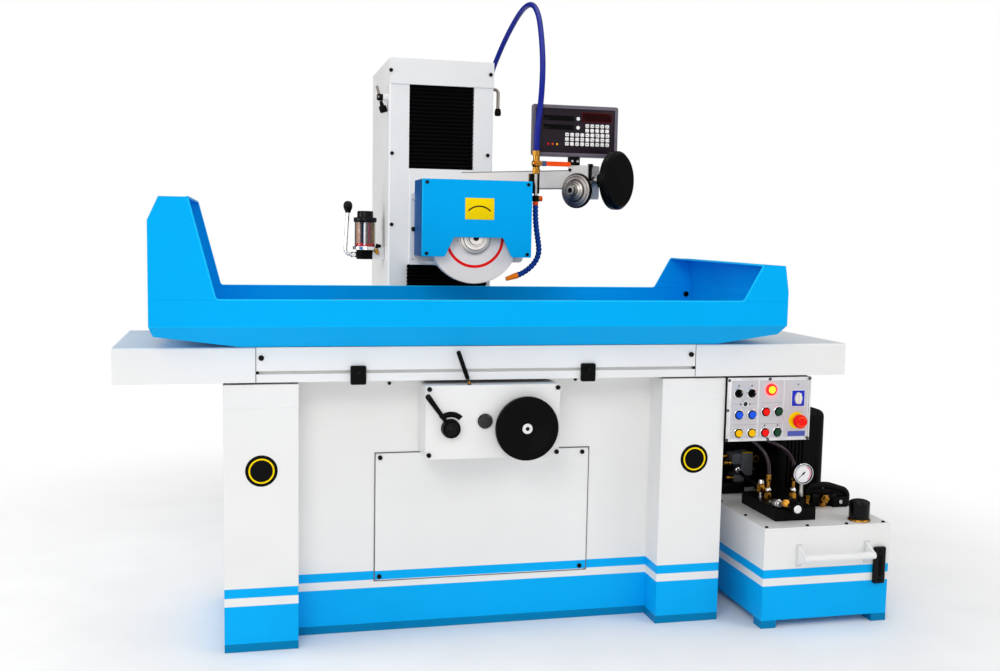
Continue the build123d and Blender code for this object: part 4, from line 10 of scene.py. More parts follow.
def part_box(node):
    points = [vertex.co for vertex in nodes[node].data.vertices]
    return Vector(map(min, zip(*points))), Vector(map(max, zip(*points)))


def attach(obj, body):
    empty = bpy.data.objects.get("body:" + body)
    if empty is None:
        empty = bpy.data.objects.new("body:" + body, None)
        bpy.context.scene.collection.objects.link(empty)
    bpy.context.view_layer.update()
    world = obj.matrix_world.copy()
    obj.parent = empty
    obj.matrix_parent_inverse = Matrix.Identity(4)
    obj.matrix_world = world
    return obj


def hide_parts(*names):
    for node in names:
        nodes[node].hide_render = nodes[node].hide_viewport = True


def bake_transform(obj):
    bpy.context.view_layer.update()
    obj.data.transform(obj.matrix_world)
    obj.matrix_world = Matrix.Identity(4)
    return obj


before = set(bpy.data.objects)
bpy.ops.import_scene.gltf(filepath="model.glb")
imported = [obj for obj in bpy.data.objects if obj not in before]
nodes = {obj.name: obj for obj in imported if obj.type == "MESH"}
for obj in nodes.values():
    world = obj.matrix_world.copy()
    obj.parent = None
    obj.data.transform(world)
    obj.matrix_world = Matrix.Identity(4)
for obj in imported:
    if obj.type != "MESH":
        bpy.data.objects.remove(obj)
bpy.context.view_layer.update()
scene = bpy.context.scene
scene.view_settings.view_transform = "Standard"

# Camera at the photograph's place
camera_place = Vector((-0.8593, -4.0896, 1.48655))
camera_yaw, camera_pitch, camera_roll = (math.radians(angle) for angle in (13.385, -5.577, 1.060))
photo_width = 1000
focal_pixels = 1091.0
level_reach = math.cos(camera_pitch)
ahead = level_reach * Vector((math.sin(camera_yaw), math.cos(camera_yaw), 0))
ahead.z = math.sin(camera_pitch)
level = Vector((math.cos(camera_yaw), -math.sin(camera_yaw), 0))
upright = level.cross(ahead)
right = math.cos(camera_roll) * level + math.sin(camera_roll) * upright
up = math.cos(camera_roll) * upright - math.sin(camera_roll) * level
camera = bpy.data.objects.new("camera", bpy.data.cameras.new("camera"))
scene.collection.objects.link(camera)
camera.matrix_world = Matrix((right, up, -ahead)).transposed().to_4x4()
camera.location = camera_place
camera.data.sensor_width = 36
camera.data.lens = focal_pixels * camera.data.sensor_width / photo_width
camera.data.clip_end = 60
scene.camera = camera


class Network:
    """Short calls for the shader nodes of a material or of the world."""

    def __init__(self, tree):
        self.tree = tree

    def add(self, kind, inputs=None, **settings):
        node = self.tree.nodes.new(kind)
        for name, value in settings.items():
            setattr(node, name, value)
        for key, value in (inputs or {}).items():
            self.feed(node.inputs[key], value)
        return node

    def feed(self, socket, value):
        if isinstance(value, bpy.types.NodeSocket):
            self.tree.links.new(value, socket)
        else:
            socket.default_value = value

    def level(self, value, low, high):
        inputs = {"Value": value, "To Min": low, "To Max": high}
        return self.add("ShaderNodeMapRange", inputs).outputs["Result"]

    def maths(self, operation, *values):
        node = self.add("ShaderNodeMath", operation=operation)
        for socket, value in zip(node.inputs, values):
            self.feed(socket, value)
        return node.outputs["Value"]

    def distance(self, *offsets):
        squares = [self.maths("POWER", offset, 2) for offset in offsets]
        return self.maths("SQRT", self.maths("ADD", *squares))

    def seen(self, rays):
        """One where the camera looks straight at a thing, or by way of polished metal or glass."""
        mirrored = self.maths("MAXIMUM", rays["Is Glossy Ray"], rays["Is Transmission Ray"])
        return self.maths("MAXIMUM", rays["Is Camera Ray"], mirrored)


class Finish(Network):
    """One material, with its grain and colour, and the slot that pieces made of it belong to."""

    slots = {}

    def __init__(self, name, slot=None):
        self.material = bpy.data.materials.new(name)
        self.material.use_nodes = True
        super().__init__(self.material.node_tree)
        self.shader = self.tree.nodes["Principled BSDF"]
        self.place = self.add("ShaderNodeTexCoord").outputs["Object"]
        self.slots[self.material] = slot

    def surface(self, **values):
        for name, value in values.items():
            self.feed(self.shader.inputs[name.replace("_", " ").title().replace("Ior", "IOR")], value)

    def grain(self, scale, detail=2.0, stretch=None):
        source = self.place
        if stretch:
            source = self.add("ShaderNodeMapping", {"Vector": source, "Scale": stretch}).outputs["Vector"]
        inputs = {"Vector": source, "Scale": scale, "Detail": detail}
        return self.add("ShaderNodeTexNoise", inputs).outputs["Fac"]

    def ramp(self, value, *stops):
        node = self.add("ShaderNodeValToRGB", {"Fac": value})
        for element, (position, colour) in zip(node.color_ramp.elements, stops):
            element.position = position
            element.color = (*colour, 1)
        return node.outputs["Color"]

    def tones(self, value, colour, darkest, lightest):
        return self.ramp(value, (0.3, shaded(colour, darkest)), (0.7, shaded(colour, lightest)))

    def mix(self, share, first, second):
        return self.add("ShaderNodeMix", {0: share, 6: first, 7: second}, data_type="RGBA").outputs[2]

    def axes(self, centre=(0, 0, 0)):
        inputs = {"Vector": self.place, "Location": tuple(-part for part in centre)}
        shifted = self.add("ShaderNodeMapping", inputs).outputs["Vector"]
        return self.add("ShaderNodeSeparateXYZ", {"Vector": shifted}).outputs

    def relief(self, height, strength, distance=0.001, round_edges=None):
        inputs = {"Height": height, "Strength": strength, "Distance": distance}
        if round_edges:
            bevel = self.add("ShaderNodeBevel", {"Radius": round_edges}, samples=4)
            inputs["Normal"] = bevel.outputs["Normal"]
        self.feed(self.shader.inputs["Normal"], self.add("ShaderNodeBump", inputs).outputs["Normal"])


def shaded(colour, share):
    """The colour made darker or lighter by a share."""
    return tuple(min(1.0, part * share) for part in colour)


def sprayed(finish, colour, gloss, shine, edge):
    """Orange peel, uneven gloss and soft edges of sprayed paint."""
    finish.surface(
        base_color=colour, roughness=finish.level(finish.grain(9, 4), gloss - 0.05, gloss + 0.09),
        specular_ior_level=shine,
    )
    finish.relief(finish.grain(420, 1), 0.06, 0.0004, edge)
    return finish.material


def paint(name, slot, colour, gloss, shine=0.3, edge=0.0015, mottle=0.04):
    """Machine paint with a slow change of tone."""
    finish = Finish(name, slot)
    tone = finish.tones(finish.grain(2.3, 3), colour, 1 - mottle, 1 + mottle / 2)
    return sprayed(finish, tone, gloss, shine, edge)


def banded_paint(name, colour, band_colour, gloss):
    """The white paint with two bands near the floor and darker feet, told apart by height."""
    feet_top = 0.0299
    lower_band_top = 0.164
    upper_band_bottom, upper_band_top = 0.194, 0.227
    finish = Finish(name)
    height = finish.axes()["Z"]
    lower = finish.maths("LESS_THAN", height, lower_band_top)
    over = finish.maths("GREATER_THAN", height, upper_band_bottom)
    upper = finish.maths("MULTIPLY", over, finish.maths("LESS_THAN", height, upper_band_top))
    feet = finish.maths("LESS_THAN", height, feet_top)
    tone = finish.grain(2.3, 3)
    plain = finish.tones(tone, colour, 0.96, 1.02)
    band = finish.tones(tone, band_colour, 0.95, 1.03)
    banded = finish.mix(finish.maths("ADD", lower, upper), plain, band)
    tone = finish.mix(feet, banded, finish.tones(tone, band_colour, 0.48, 0.54))
    return sprayed(finish, tone, gloss, 0.06, 0.0015)


def metal(name, slot, colour, roughness, grain=(600, 600, 30), bump=0.05, edge=0.0006):
    """Turned or ground metal with fine tool marks along one axis."""
    finish = Finish(name, slot)
    marks = finish.grain(1.0, 3, stretch=grain)
    finish.surface(
        base_color=finish.tones(finish.grain(25, 4), colour, 0.86, 1.05), metallic=1.0,
        roughness=finish.level(marks, roughness - 0.08, roughness + 0.1),
    )
    finish.relief(marks, bump, 0.0003, edge)
    return finish.material


def moulded(name, slot, colour, roughness, grit=700, bump=0.06, edge=0.0006, mottle=0.1, shine=0.22):
    """Moulded plastic or rubber with a fine skin."""
    finish = Finish(name, slot)
    finish.surface(
        base_color=finish.tones(finish.grain(18, 4), colour, 1 - mottle, 1 + mottle),
        roughness=finish.level(finish.grain(45, 3), roughness - 0.06, roughness + 0.08),
        specular_ior_level=shine,
    )
    finish.relief(finish.grain(grit, 2), bump, 0.0003, edge)
    return finish.material


def glowing(name, slot, colour, strength):
    """Lit lens: its own light, a little uneven as behind moulded ribs."""
    finish = Finish(name, slot)
    ribs = finish.grain(160, 2)
    lit = finish.tones(ribs, colour, 0.9, 1)
    finish.surface(base_color=lit, emission_color=lit, emission_strength=strength, roughness=0.25)
    finish.relief(ribs, 0.1, 0.0003)
    return finish.material


def clear(name, slot, colour, roughness, bend):
    """Clear moulding with faint flow lines."""
    finish = Finish(name, slot)
    flow = finish.grain(30, 2, stretch=(1, 1, 0.2))
    finish.surface(
        base_color=finish.tones(flow, colour, 0.96, 1), transmission_weight=1.0, ior=bend,
        roughness=finish.level(flow, roughness, roughness + 0.05),
    )
    finish.relief(flow, 0.02, 0.0003)
    return finish.material


white = (0.83, 0.828, 0.822)
cyan = (0.0008, 0.415, 0.90)
black = (0.0022, 0.0022, 0.0022)

machine_white = paint("machine_white", "white_paint", white, 0.36)
band_white = banded_paint("band_white", white, cyan, 0.36)
splash_blue = paint("splash_blue", "blue_paint", cyan, 0.42, 0.02, 0.0035)
# Lighter blue for painted highlights along the trough's rolled edge, its fold and the guard cover's edge
highlight_blue = paint("highlight_blue", "blue_paint", (0.003, 0.52, 0.95), 0.30, 0.08, 0.001)
guard_navy = paint("guard_navy", None, (0.0010, 0.085, 0.27), 0.36, 0.05)
flange_steel = metal("flange_steel", None, (0.80, 0.755, 0.70), 0.50, (300, 300, 300))
casting_grey = paint("casting_grey", None, (0.70, 0.685, 0.67), 0.42, 0.15)
plate_grey = paint("plate_grey", "grey_paint", (0.66, 0.66, 0.67), 0.38, 0.2)
valve_grey = paint("valve_grey", "grey_paint", (0.10, 0.105, 0.12), 0.45, 0.2)
satin_black = paint("satin_black", "black_paint", black, 0.38, 0.06, 0.001, 0.2)
moulded_black = moulded("moulded_black", "black_plastic", black, 0.30, shine=0.05)
knob_black = moulded("knob_black", "black_plastic", (0.003, 0.003, 0.0032), 0.22, shine=0.12)
gloss_black = moulded("gloss_black", "black_plastic", (0.0020, 0.0020, 0.0022), 0.12, shine=0.14)
plug_grey = moulded("plug_grey", "black_plastic", (0.026, 0.026, 0.027), 0.45)
seam_dark = moulded("seam_dark", "black_rubber", (0.03, 0.03, 0.032), 0.7)
# Grey for painted shade lines: the shade in the gap round the access cover and along the elevating arm's
# edges
shade_line_grey = moulded("shade_line_grey", "black_rubber", (0.15, 0.15, 0.155), 0.6)
pleat_black = moulded("pleat_black", "black_rubber", (0.0035, 0.0035, 0.004), 0.75, 1200, 0.12, shine=0.05)
bright_steel = metal("bright_steel", "steel", (0.62, 0.61, 0.60), 0.26)
polished_rim = metal("polished_rim", "steel", (0.86, 0.86, 0.85), 0.16, (300, 300, 300), 0.02)
ground_iron = metal("ground_iron", None, (0.23, 0.235, 0.25), 0.42, (8, 500, 500))
turned_steel = metal("turned_steel", "steel", (0.38, 0.36, 0.345), 0.34, (300, 300, 300))
black_rod = metal("black_rod", "steel", (0.055, 0.045, 0.04), 0.30, (300, 300, 40))
aged_steel = metal("aged_steel", "steel", (0.24, 0.205, 0.18), 0.30, (300, 300, 300))
# Bright white for a painted highlight along the tank lid's edges
highlight_white = paint("highlight_white", "white_paint", (0.95, 0.948, 0.944), 0.30, 0.1, 0.0005)
oiled_brass = metal("oiled_brass", "brass", (0.39, 0.185, 0.026), 0.18, (500, 500, 80))
screw_black = moulded("screw_black", "black_paint", (0.006, 0.005, 0.005), 0.40, 900, 0.05, 0.0003, shine=0.1)
segment_blue = moulded("segment_blue", None, (0.0005, 0.042, 0.29), 0.24, 500, 0.03, shine=0.10)
grip_orange = moulded("grip_orange", "orange_grip", (0.95, 0.078, 0.003), 0.38, 600, 0.05, shine=0.12)
ferrule_slate = moulded("ferrule_slate", "grey_paint", (0.05, 0.08, 0.19), 0.35, 600, 0.03, shine=0.12)
tip_orange = moulded("tip_orange", "orange_grip", (0.98, 0.22, 0.006), 0.36, 600, 0.04, shine=0.12)
case_lilac = moulded("case_lilac", None, (0.125, 0.108, 0.138), 0.38, 900, 0.05, 0.002, shine=0.3)
face_dark = moulded("face_dark", "black_plastic", (0.016, 0.010, 0.016), 0.35, 1200, 0.03, shine=0.10)
screen_glass = moulded("screen_glass", "black_plastic", (0.0016, 0.0014, 0.002), 0.12, 200, 0.01, shine=0.05)
screen_red = moulded("screen_red", "red_cap", (0.016, 0.0006, 0.0012), 0.15, 200, 0.01, shine=0.05)
key_white = moulded("key_white", "white_cap", (0.90, 0.89, 0.88), 0.40, 600, 0.03)
panel_silver = paint("panel_silver", "panel_face", (0.57, 0.555, 0.59), 0.42, 0.3, 0.0008, 0.03)
panel_edge = metal("panel_edge", "panel_face", (0.74, 0.73, 0.75), 0.34, (20, 400, 400), 0.02)
cap_red = moulded("cap_red", "red_cap", (0.92, 0.004, 0.003), 0.25, 300, 0.01, 0.0005, 0.05, 0.15)
cap_green = moulded("cap_green", None, (0.003, 0.045, 0.018), 0.25, 300, 0.01, 0.0005, 0.05)
cap_blue = moulded("cap_blue", None, (0.006, 0.09, 0.78), 0.25, 300, 0.01, 0.0005, 0.05)
cap_yellow = moulded("cap_yellow", "yellow_cap", (0.95, 0.50, 0.0), 0.25, 300, 0.01, 0.0005, 0.05, 0.12)
knob_cream = moulded("knob_cream", "white_cap", (0.82, 0.80, 0.72), 0.34, 300, 0.02, 0.0005, 0.05)
cap_dim = moulded("cap_dim", "red_cap", (0.10, 0.001, 0.002), 0.3, 300, 0.01, 0.0005, 0.05, 0.05)
sign_yellow = paint("sign_yellow", "yellow_cap", (1.0, 0.70, 0.0), 0.40, 0.06, 0.0005)
sign_blue = paint("sign_blue", "blue_cap", (0.010, 0.025, 0.52), 0.35, 0.2, 0.0005)
strip_blue = paint("strip_blue", "blue_cap", (0.075, 0.105, 0.42), 0.40, 0.2, 0.0005)
gauge_white = paint("gauge_white", "white_cap", (0.86, 0.85, 0.87), 0.40, 0.2, 0.0004)
gauge_rose = paint("gauge_rose", "red_cap", (0.93, 0.22, 0.44), 0.40, 0.2, 0.0004)
lens_red = glowing("lens_red", "red_cap", (1.0, 0.002, 0.0006), 5.0)
lens_amber = glowing("lens_amber", "yellow_cap", (1.0, 0.78, 0.004), 1.0)
cup_clear = clear("cup_clear", "clear_cup", (0.90, 0.86, 0.82), 0.02, 1.46)
oil_red = moulded("oil_red", "clear_cup", (0.75, 0.004, 0.005), 0.15, 200, 0.01, shine=0.2)
# Colours of the rods in the lubricator's glass, which are painted reflection: they stand in for the bands
# that the glass reflects and bends
reflection_navy = moulded("reflection_navy", "clear_cup", (0.004, 0.010, 0.05), 0.3, 300, 0.02, shine=0.1)
reflection_wine = moulded("reflection_wine", "clear_cup", (0.42, 0.05, 0.12), 0.3, 300, 0.02, shine=0.1)
reflection_olive = moulded("reflection_olive", "clear_cup", (0.34, 0.24, 0.07), 0.3, 300, 0.02, shine=0.1)
reflection_salmon = moulded("reflection_salmon", "clear_cup", (0.95, 0.52, 0.36), 0.3, 300, 0.02, shine=0.1)

node_finish = {
    band_white: ("bed_casting", "tank_body", "front_access_cover"),
    machine_white: (
        "control_box", "tank_lid", "front_rail", "left_way_cover", "right_way_cover",
        "column_casting", "spindle_head",
    ),
    splash_blue: ("splash_trough", "guard_cover"),
    guard_navy: ("wheel_guard",),
    flange_steel: ("spindle_shaft",),
    casting_grey: ("elevating_arm", "elevating_gearbox"),
    satin_black: (
        "panel_box", "valve_manifold", "pump_motor", "trip_dog_left", "trip_dog_right", "spindle_motor",
        "clamp_lever_left",
    ),
    moulded_black: (
        "crossfeed_handwheel", "elevating_handwheel", "speed_lever", "rotary_knob_left",
        "rotary_knob_right",
    ),
    bright_steel: ("table_cylinder", "piston_rod", "elevating_screw", "crossfeed_screw", "lubricator_lever"),
    black_rod: ("reversing_lever",),
    ground_iron: ("table_casting",),
    turned_steel: ("elevating_dial",),
    oiled_brass: ("coolant_valve",),
    segment_blue: ("coolant_nozzle",),
    grip_orange: ("valve_lever",),
    case_lilac: ("digital_readout",),
    cap_red: ("red_button_upper", "red_button_lower", "emergency_stop"),
    cap_green: ("green_button_upper", "green_button_lower"),
    cap_blue: ("blue_button_left", "blue_button_right"),
    cap_yellow: ("yellow_button_left", "yellow_button_right"),
}


def dress(node, material):
    """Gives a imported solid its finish."""
    mesh = nodes[node].data
    mesh.materials.clear()
    mesh.materials.append(material)


for material, names in node_finish.items():
    for name in names:
        dress(name, material)


def grit_finish():
    """Vitrified grinding wheel: pale grit with a painted ring round its face."""
    wheel_centre = (0.025, 0.105, 1.4495)
    ring_inside, ring_outside = 0.1050, 0.1165
    face_depth = -0.0245
    finish = Finish("wheel_grit")
    axes = finish.axes(wheel_centre)
    radius = finish.distance(axes["X"], axes["Z"])
    outside = finish.maths("GREATER_THAN", radius, ring_inside)
    ring = finish.maths("MULTIPLY", outside, finish.maths("LESS_THAN", radius, ring_outside))
    face = finish.maths("LESS_THAN", axes["Y"], face_depth)
    speckle = finish.grain(900, 3)
    pale = finish.ramp(speckle, (0.35, (0.88, 0.84, 0.81)), (0.6, (0.97, 0.94, 0.92)))
    red = finish.ramp(speckle, (0.35, (0.96, 0.002, 0.002)), (0.6, (1.0, 0.004, 0.004)))
    painted = finish.mix(finish.maths("MULTIPLY", ring, face), pale, red)
    finish.surface(base_color=painted, roughness=0.85, specular_ior_level=0.25)
    finish.relief(speckle, 0.35, 0.0005, 0.0015)
    return finish.material


dress("grinding_wheel", grit_finish())


# Makers of pieces: their sizes and places are in millimetres, and the meshes in metres
def metres(place):
    return Vector([part / 1000 for part in place])


def link(name, mesh, material, body=None):
    """Puts a finished mesh in the scene and lets it ride on a body."""
    piece = bpy.data.objects.new(name, mesh)
    scene.collection.objects.link(piece)
    mesh.materials.clear()
    mesh.materials.append(material)
    if body:
        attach(piece, body)
    return piece


def finished(name, work, finish, body=None):
    """Closes a bmesh's seams, turns its faces outwards and makes a smooth-shaded piece of it."""
    bmesh.ops.remove_doubles(work, verts=work.verts, dist=1e-6)
    bmesh.ops.recalc_face_normals(work, faces=work.faces)
    mesh = bpy.data.meshes.new(name)
    work.to_mesh(mesh)
    work.free()
    mesh.shade_smooth()
    mesh.set_sharp_from_angle(angle=math.radians(32))
    return link(name, mesh, finish, body)


def facing(direction, place, turn=0.0):
    """Matrix that stands the Z axis along a direction at a place, turned by degrees about that axis."""
    upright_turn = Vector(direction).to_track_quat("Z", "Y").to_matrix().to_4x4()
    return Matrix.Translation(metres(place)) @ upright_turn @ Matrix.Rotation(math.radians(turn), 4, "Z")


def turn_profile(work, profile, matrix, steps, sweep=None):
    """Spins a profile of (radius, height) points, all round or over some degrees, and puts it in place."""
    points = [work.verts.new((radius / 1000, 0, height / 1000)) for radius, height in profile]
    followers = points[1:] + (points[:1] if sweep else [])
    rails = [work.edges.new(pair) for pair in zip(points, followers)]
    bmesh.ops.spin(
        work, geom=points + rails, cent=(0, 0, 0), axis=(0, 0, 1), dvec=(0, 0, 0),
        angle=math.radians(sweep or 360), steps=steps, use_merge=not sweep, use_duplicate=False,
    )
    shape = {vert for vert in points if vert.is_valid}
    frontier = list(shape)
    while frontier:
        vert = frontier.pop()
        for edge in vert.link_edges:
            other = edge.other_vert(vert)
            if other not in shape:
                shape.add(other)
                frontier.append(other)
    if sweep:
        ends = {edge for vert in shape for edge in vert.link_edges if edge.is_boundary}
        bmesh.ops.holes_fill(work, edges=list(ends))
    bmesh.ops.transform(work, matrix=matrix, verts=list(shape))


def turnings(name, finish, body, shapes):
    """One piece of turned shapes, each a profile, the direction it faces, its place and its step count."""
    work = bmesh.new()
    for profile, direction, place, steps in shapes:
        turn_profile(work, profile, facing(direction, place), steps)
    return finished(name, work, finish, body)


def turned(name, finish, body, direction, places, steps, *profile):
    """One piece of a turned profile that stands along a direction, at one place or at each of a list."""
    spots = places if isinstance(places, list) else [places]
    return turnings(name, finish, body, [(profile, direction, place, steps) for place in spots])


def arcs(name, finish, body, direction, place, steps, turns, sweep, *profile):
    """One piece of bands round a place, each spun over a part of a turn."""
    work = bmesh.new()
    for turn in turns:
        turn_profile(work, profile, facing(direction, place, turn), steps, sweep)
    return finished(name, work, finish, body)


def box_into(work, low, high, bevel=0.0, segments=2, matrix=None):
    """Box between two corners with rounded edges."""
    low, high = metres(low), metres(high)
    made = bmesh.ops.create_cube(work, size=1)["verts"]
    bmesh.ops.scale(work, vec=high - low, verts=made)
    bmesh.ops.translate(work, vec=(low + high) / 2, verts=made)
    if matrix:
        bmesh.ops.transform(work, matrix=matrix, verts=made)
    if bevel:
        edges = list({edge for vert in made for edge in vert.link_edges})
        bmesh.ops.bevel(
            work, geom=edges, offset=bevel / 1000, segments=segments, profile=0.5, affect="EDGES",
            material=-1,
        )


def boxes(name, finish, body, bevel, *spans, segments=2, matrix=None):
    """One piece made of rounded boxes, each given by two corners."""
    work = bmesh.new()
    for low, high in spans:
        box_into(work, low, high, bevel, segments, matrix)
    return finished(name, work, finish, body)


def marks(name, finish, body, direction, place, *spans):
    """One piece of small boxes round a place, each given by its turn in degrees and two corners."""
    work = bmesh.new()
    for turn, low, high in spans:
        box_into(work, low, high, matrix=facing(direction, place, turn))
    return finished(name, work, finish, body)


def plates(name, finish, body, matrix, thickness, *outlines):
    """One piece of flat outlines, drawn in the matrix's XY plane and grown along its Z axis."""
    work = bmesh.new()
    for outline in outlines:
        base = work.faces.new([work.verts.new((x / 1000, y / 1000, 0)) for x, y in outline])
        grown = bmesh.ops.extrude_face_region(work, geom=[base], use_keep_orig=True)["geom"]
        top = [part for part in grown if isinstance(part, bmesh.types.BMVert)]
        bmesh.ops.translate(work, vec=(0, 0, thickness / 1000), verts=top)
    bmesh.ops.transform(work, matrix=matrix, verts=work.verts)
    return finished(name, work, finish, body)


def screws(name, body, direction, radius, places, finish=screw_black):
    """Socket-head screws at a list of places, all facing one way."""
    shares = ((0, 0.25), (0.42, 0.25), (0.5, 0.75), (0.82, 0.8), (1, 0.6))
    profile = [(radius * across, radius * along) for across, along in shares]
    return turned(name, finish, body, direction, places, 18, *profile, (radius, -0.4))


def rod(name, finish, body, radius, rounding, *points, closed=False):
    """Round bar or rolled edge along straight runs whose corners are rounded."""
    curve = bpy.data.curves.new(name, "CURVE")
    curve.dimensions = "3D"
    curve.bevel_depth = radius / 1000
    curve.bevel_resolution = 4
    curve.resolution_u = 8
    curve.use_fill_caps = True
    corners = [metres(point) for point in points]
    stations = []
    for index, corner in enumerate(corners):
        if not closed and index in (0, len(corners) - 1):
            stations.append((corner, corner, corner))
            continue
        for neighbour, side in ((corners[index - 1], 0), (corners[(index + 1) % len(corners)], 1)):
            near = corner + (neighbour - corner).normalized() * max(rounding / 1000, 0.0005)
            pull = near.lerp(corner, 0.55)
            stations.append((near, near, pull) if side == 0 else (near, pull, near))
    spline = curve.splines.new("BEZIER")
    spline.bezier_points.add(len(stations) - 1)
    for control, (place, before, after) in zip(spline.bezier_points, stations):
        control.handle_left_type = control.handle_right_type = "FREE"
        control.co = place
        control.handle_left = before
        control.handle_right = after
    spline.use_cyclic_u = closed
    guide = bpy.data.objects.new(name, curve)
    mesh = bpy.data.meshes.new_from_object(guide)
    bpy.data.objects.remove(guide)
    mesh.shade_smooth()
    return link(name, mesh, finish, body)


# Cords, in metres: the points of a route are the control points of its smooth line
def smooth_line(name, points):
    curve = bpy.data.curves.new(name, "CURVE")
    curve.dimensions = "3D"
    spline = curve.splines.new("NURBS")
    spline.points.add(len(points) - 1)
    for control, point in zip(spline.points, points):
        control.co = (*point, 1)
    spline.order_u = 3
    spline.use_endpoint_u = True
    spline.resolution_u = 16
    curve.use_fill_caps = True
    curve.bevel_resolution = 8
    return curve


def hose_finish(name, colour, roughness, band_scale, axis, gloss):
    """Smooth hose with faint bands across its length."""
    finish = Finish(name)
    waves = finish.add(
        "ShaderNodeTexWave",
        {"Vector": finish.place, "Scale": band_scale, "Distortion": 0.4, "Detail": 1.0},
        wave_type="BANDS", bands_direction=axis,
    ).outputs["Fac"]
    finish.surface(
        base_color=finish.ramp(waves, (0.0, shaded(colour, 0.82)), (1.0, shaded(colour, 1.12))),
        roughness=finish.level(finish.grain(60, 3), roughness - 0.05, roughness + 0.08),
        specular_ior_level=gloss,
    )
    finish.relief(waves, 0.06, 0.0004)
    return finish.material


hose_navy = hose_finish("hose_navy", (0.0008, 0.009, 0.24), 0.28, 80, "DIAGONAL", 0.15)
hose_plum = hose_finish("hose_plum", (0.022, 0.008, 0.018), 0.13, 60, "Z", 0.35)

coolant_route = [
    (0.289, 1.180, 2.006),
    (0.289, 1.180, 2.095),
    (0.297, 1.120, 2.175),
    (0.304, 1.000, 2.262),
    (0.322, 0.850, 2.362),
    (0.340, 0.660, 2.444),
    (0.348, 0.510, 2.447),
    (0.346, 0.390, 2.380),
    (0.336, 0.300, 2.275),
    (0.317, 0.200, 2.160),
    (0.298, 0.133, 2.055),
    (0.282, 0.097, 1.960),
    (0.269, 0.090, 1.870),
    (0.269, 0.090, 1.794),
]
coolant_diameter = 0.023
oil_routes = [
    [
        (1.185, -0.175, 0.530),
        (1.185, -0.175, 0.566),
        (1.178, -0.168, 0.600),
        (1.160, -0.158, 0.632),
        (1.126, -0.142, 0.664),
        (1.074, -0.120, 0.700),
        (1.012, -0.108, 0.720),
        (0.946, -0.108, 0.720),
    ],
    [
        (1.285, -0.192, 0.530),
        (1.285, -0.192, 0.566),
        (1.277, -0.190, 0.596),
        (1.257, -0.186, 0.623),
        (1.226, -0.181, 0.646),
        (1.184, -0.172, 0.665),
        (1.122, -0.158, 0.682),
        (1.034, -0.148, 0.690),
        (0.946, -0.148, 0.690),
    ],
]
oil_diameter = 0.015
oil_lengths = (0.356, 0.428)

coolant_curve = smooth_line("coolant_line", coolant_route)
coolant_guide = bpy.data.objects.new("coolant_line", coolant_curve)
coolant_points = [vert.co.copy() for vert in bpy.data.meshes.new_from_object(coolant_guide).vertices]
coolant_curve.bevel_depth = coolant_diameter / 2
coolant_tube = bpy.data.meshes.new_from_object(coolant_guide)
coolant_tube.shade_smooth()
bpy.data.objects.remove(coolant_guide)
coolant_hose = link("coolant_hose_tube", coolant_tube, hose_navy)
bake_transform(coolant_hose)
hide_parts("coolant_hose")

for number, (route, length) in enumerate(zip(oil_routes, oil_lengths), 1):
    oil_curve = smooth_line(f"oil_hose_{number}", route)
    oil_curve.bevel_depth = oil_diameter / 2
    oil_hose = bpy.data.objects.new(f"oil_hose_{number}", oil_curve)
    scene.collection.objects.link(oil_hose)
    oil_curve.materials.append(hose_plum)
    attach(oil_hose, "base")
    if number == 1:
        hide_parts("oil_hoses")


# Pleated covers of the column's ways
def pleated_cover(name, node, folds):
    low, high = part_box(node)
    sheet = 0.002
    fold_radius = 0.0022
    depth = high.y - low.y - sheet
    work = bmesh.new()
    edge = [
        work.verts.new((low.x, low.y + depth * (step % 2), low.z + (high.z - low.z) * step / (2 * folds)))
        for step in range(2 * folds + 1)
    ]
    rails = [work.edges.new(pair) for pair in zip(edge, edge[1:])]
    spread = bmesh.ops.extrude_edge_only(work, edges=rails)["geom"]
    far_edge = [part for part in spread if isinstance(part, bmesh.types.BMVert)]
    bmesh.ops.translate(work, vec=(high.x - low.x, 0, 0), verts=far_edge)
    creases = [crease for crease in work.edges if len(crease.link_faces) == 2]
    bmesh.ops.bevel(
        work, geom=creases, offset=fold_radius, segments=3, profile=0.5, affect="EDGES", material=-1
    )
    bmesh.ops.recalc_face_normals(work, faces=work.faces)
    if sum(face.normal.y for face in work.faces) > 0:
        bmesh.ops.reverse_faces(work, faces=work.faces)
    bmesh.ops.solidify(work, geom=work.faces, thickness=sheet)
    mesh = bpy.data.meshes.new(name)
    work.to_mesh(mesh)
    work.free()
    mesh.shade_smooth()
    mesh.set_sharp_from_angle(angle=math.radians(60))
    cover = link(name, mesh, pleat_black)
    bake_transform(cover)
    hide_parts(node)


pleated_cover("upper_pleats", "upper_bellows", 22)
pleated_cover("lower_pleats", "lower_bellows", 21)

front = (0, -1, 0)
above = (0, 0, 1)
towards_right = (1, 0, 0)
towards_left = (-1, 0, 0)
rear = (0, 1, 0)


def strips(low_x, high_x, low_z, high_z, width, back_y, front_y):
    """Four strips that run round a rectangle on an upright face."""
    return [
        ((low_x - width, front_y, low_z - width), (low_x, back_y, high_z + width)),
        ((high_x, front_y, low_z - width), (high_x + width, back_y, high_z + width)),
        ((low_x, front_y, low_z - width), (high_x, back_y, low_z)),
        ((low_x, front_y, high_z), (high_x, back_y, high_z + width)),
    ]


def box_of(node):
    """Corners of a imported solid's box, in millimetres."""
    return [[1000 * part for part in corner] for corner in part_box(node)]


def leaning(angle):
    """Upright direction that leans to the left by an angle in degrees."""
    return Vector((-math.sin(math.radians(angle)), 0, math.cos(math.radians(angle))))
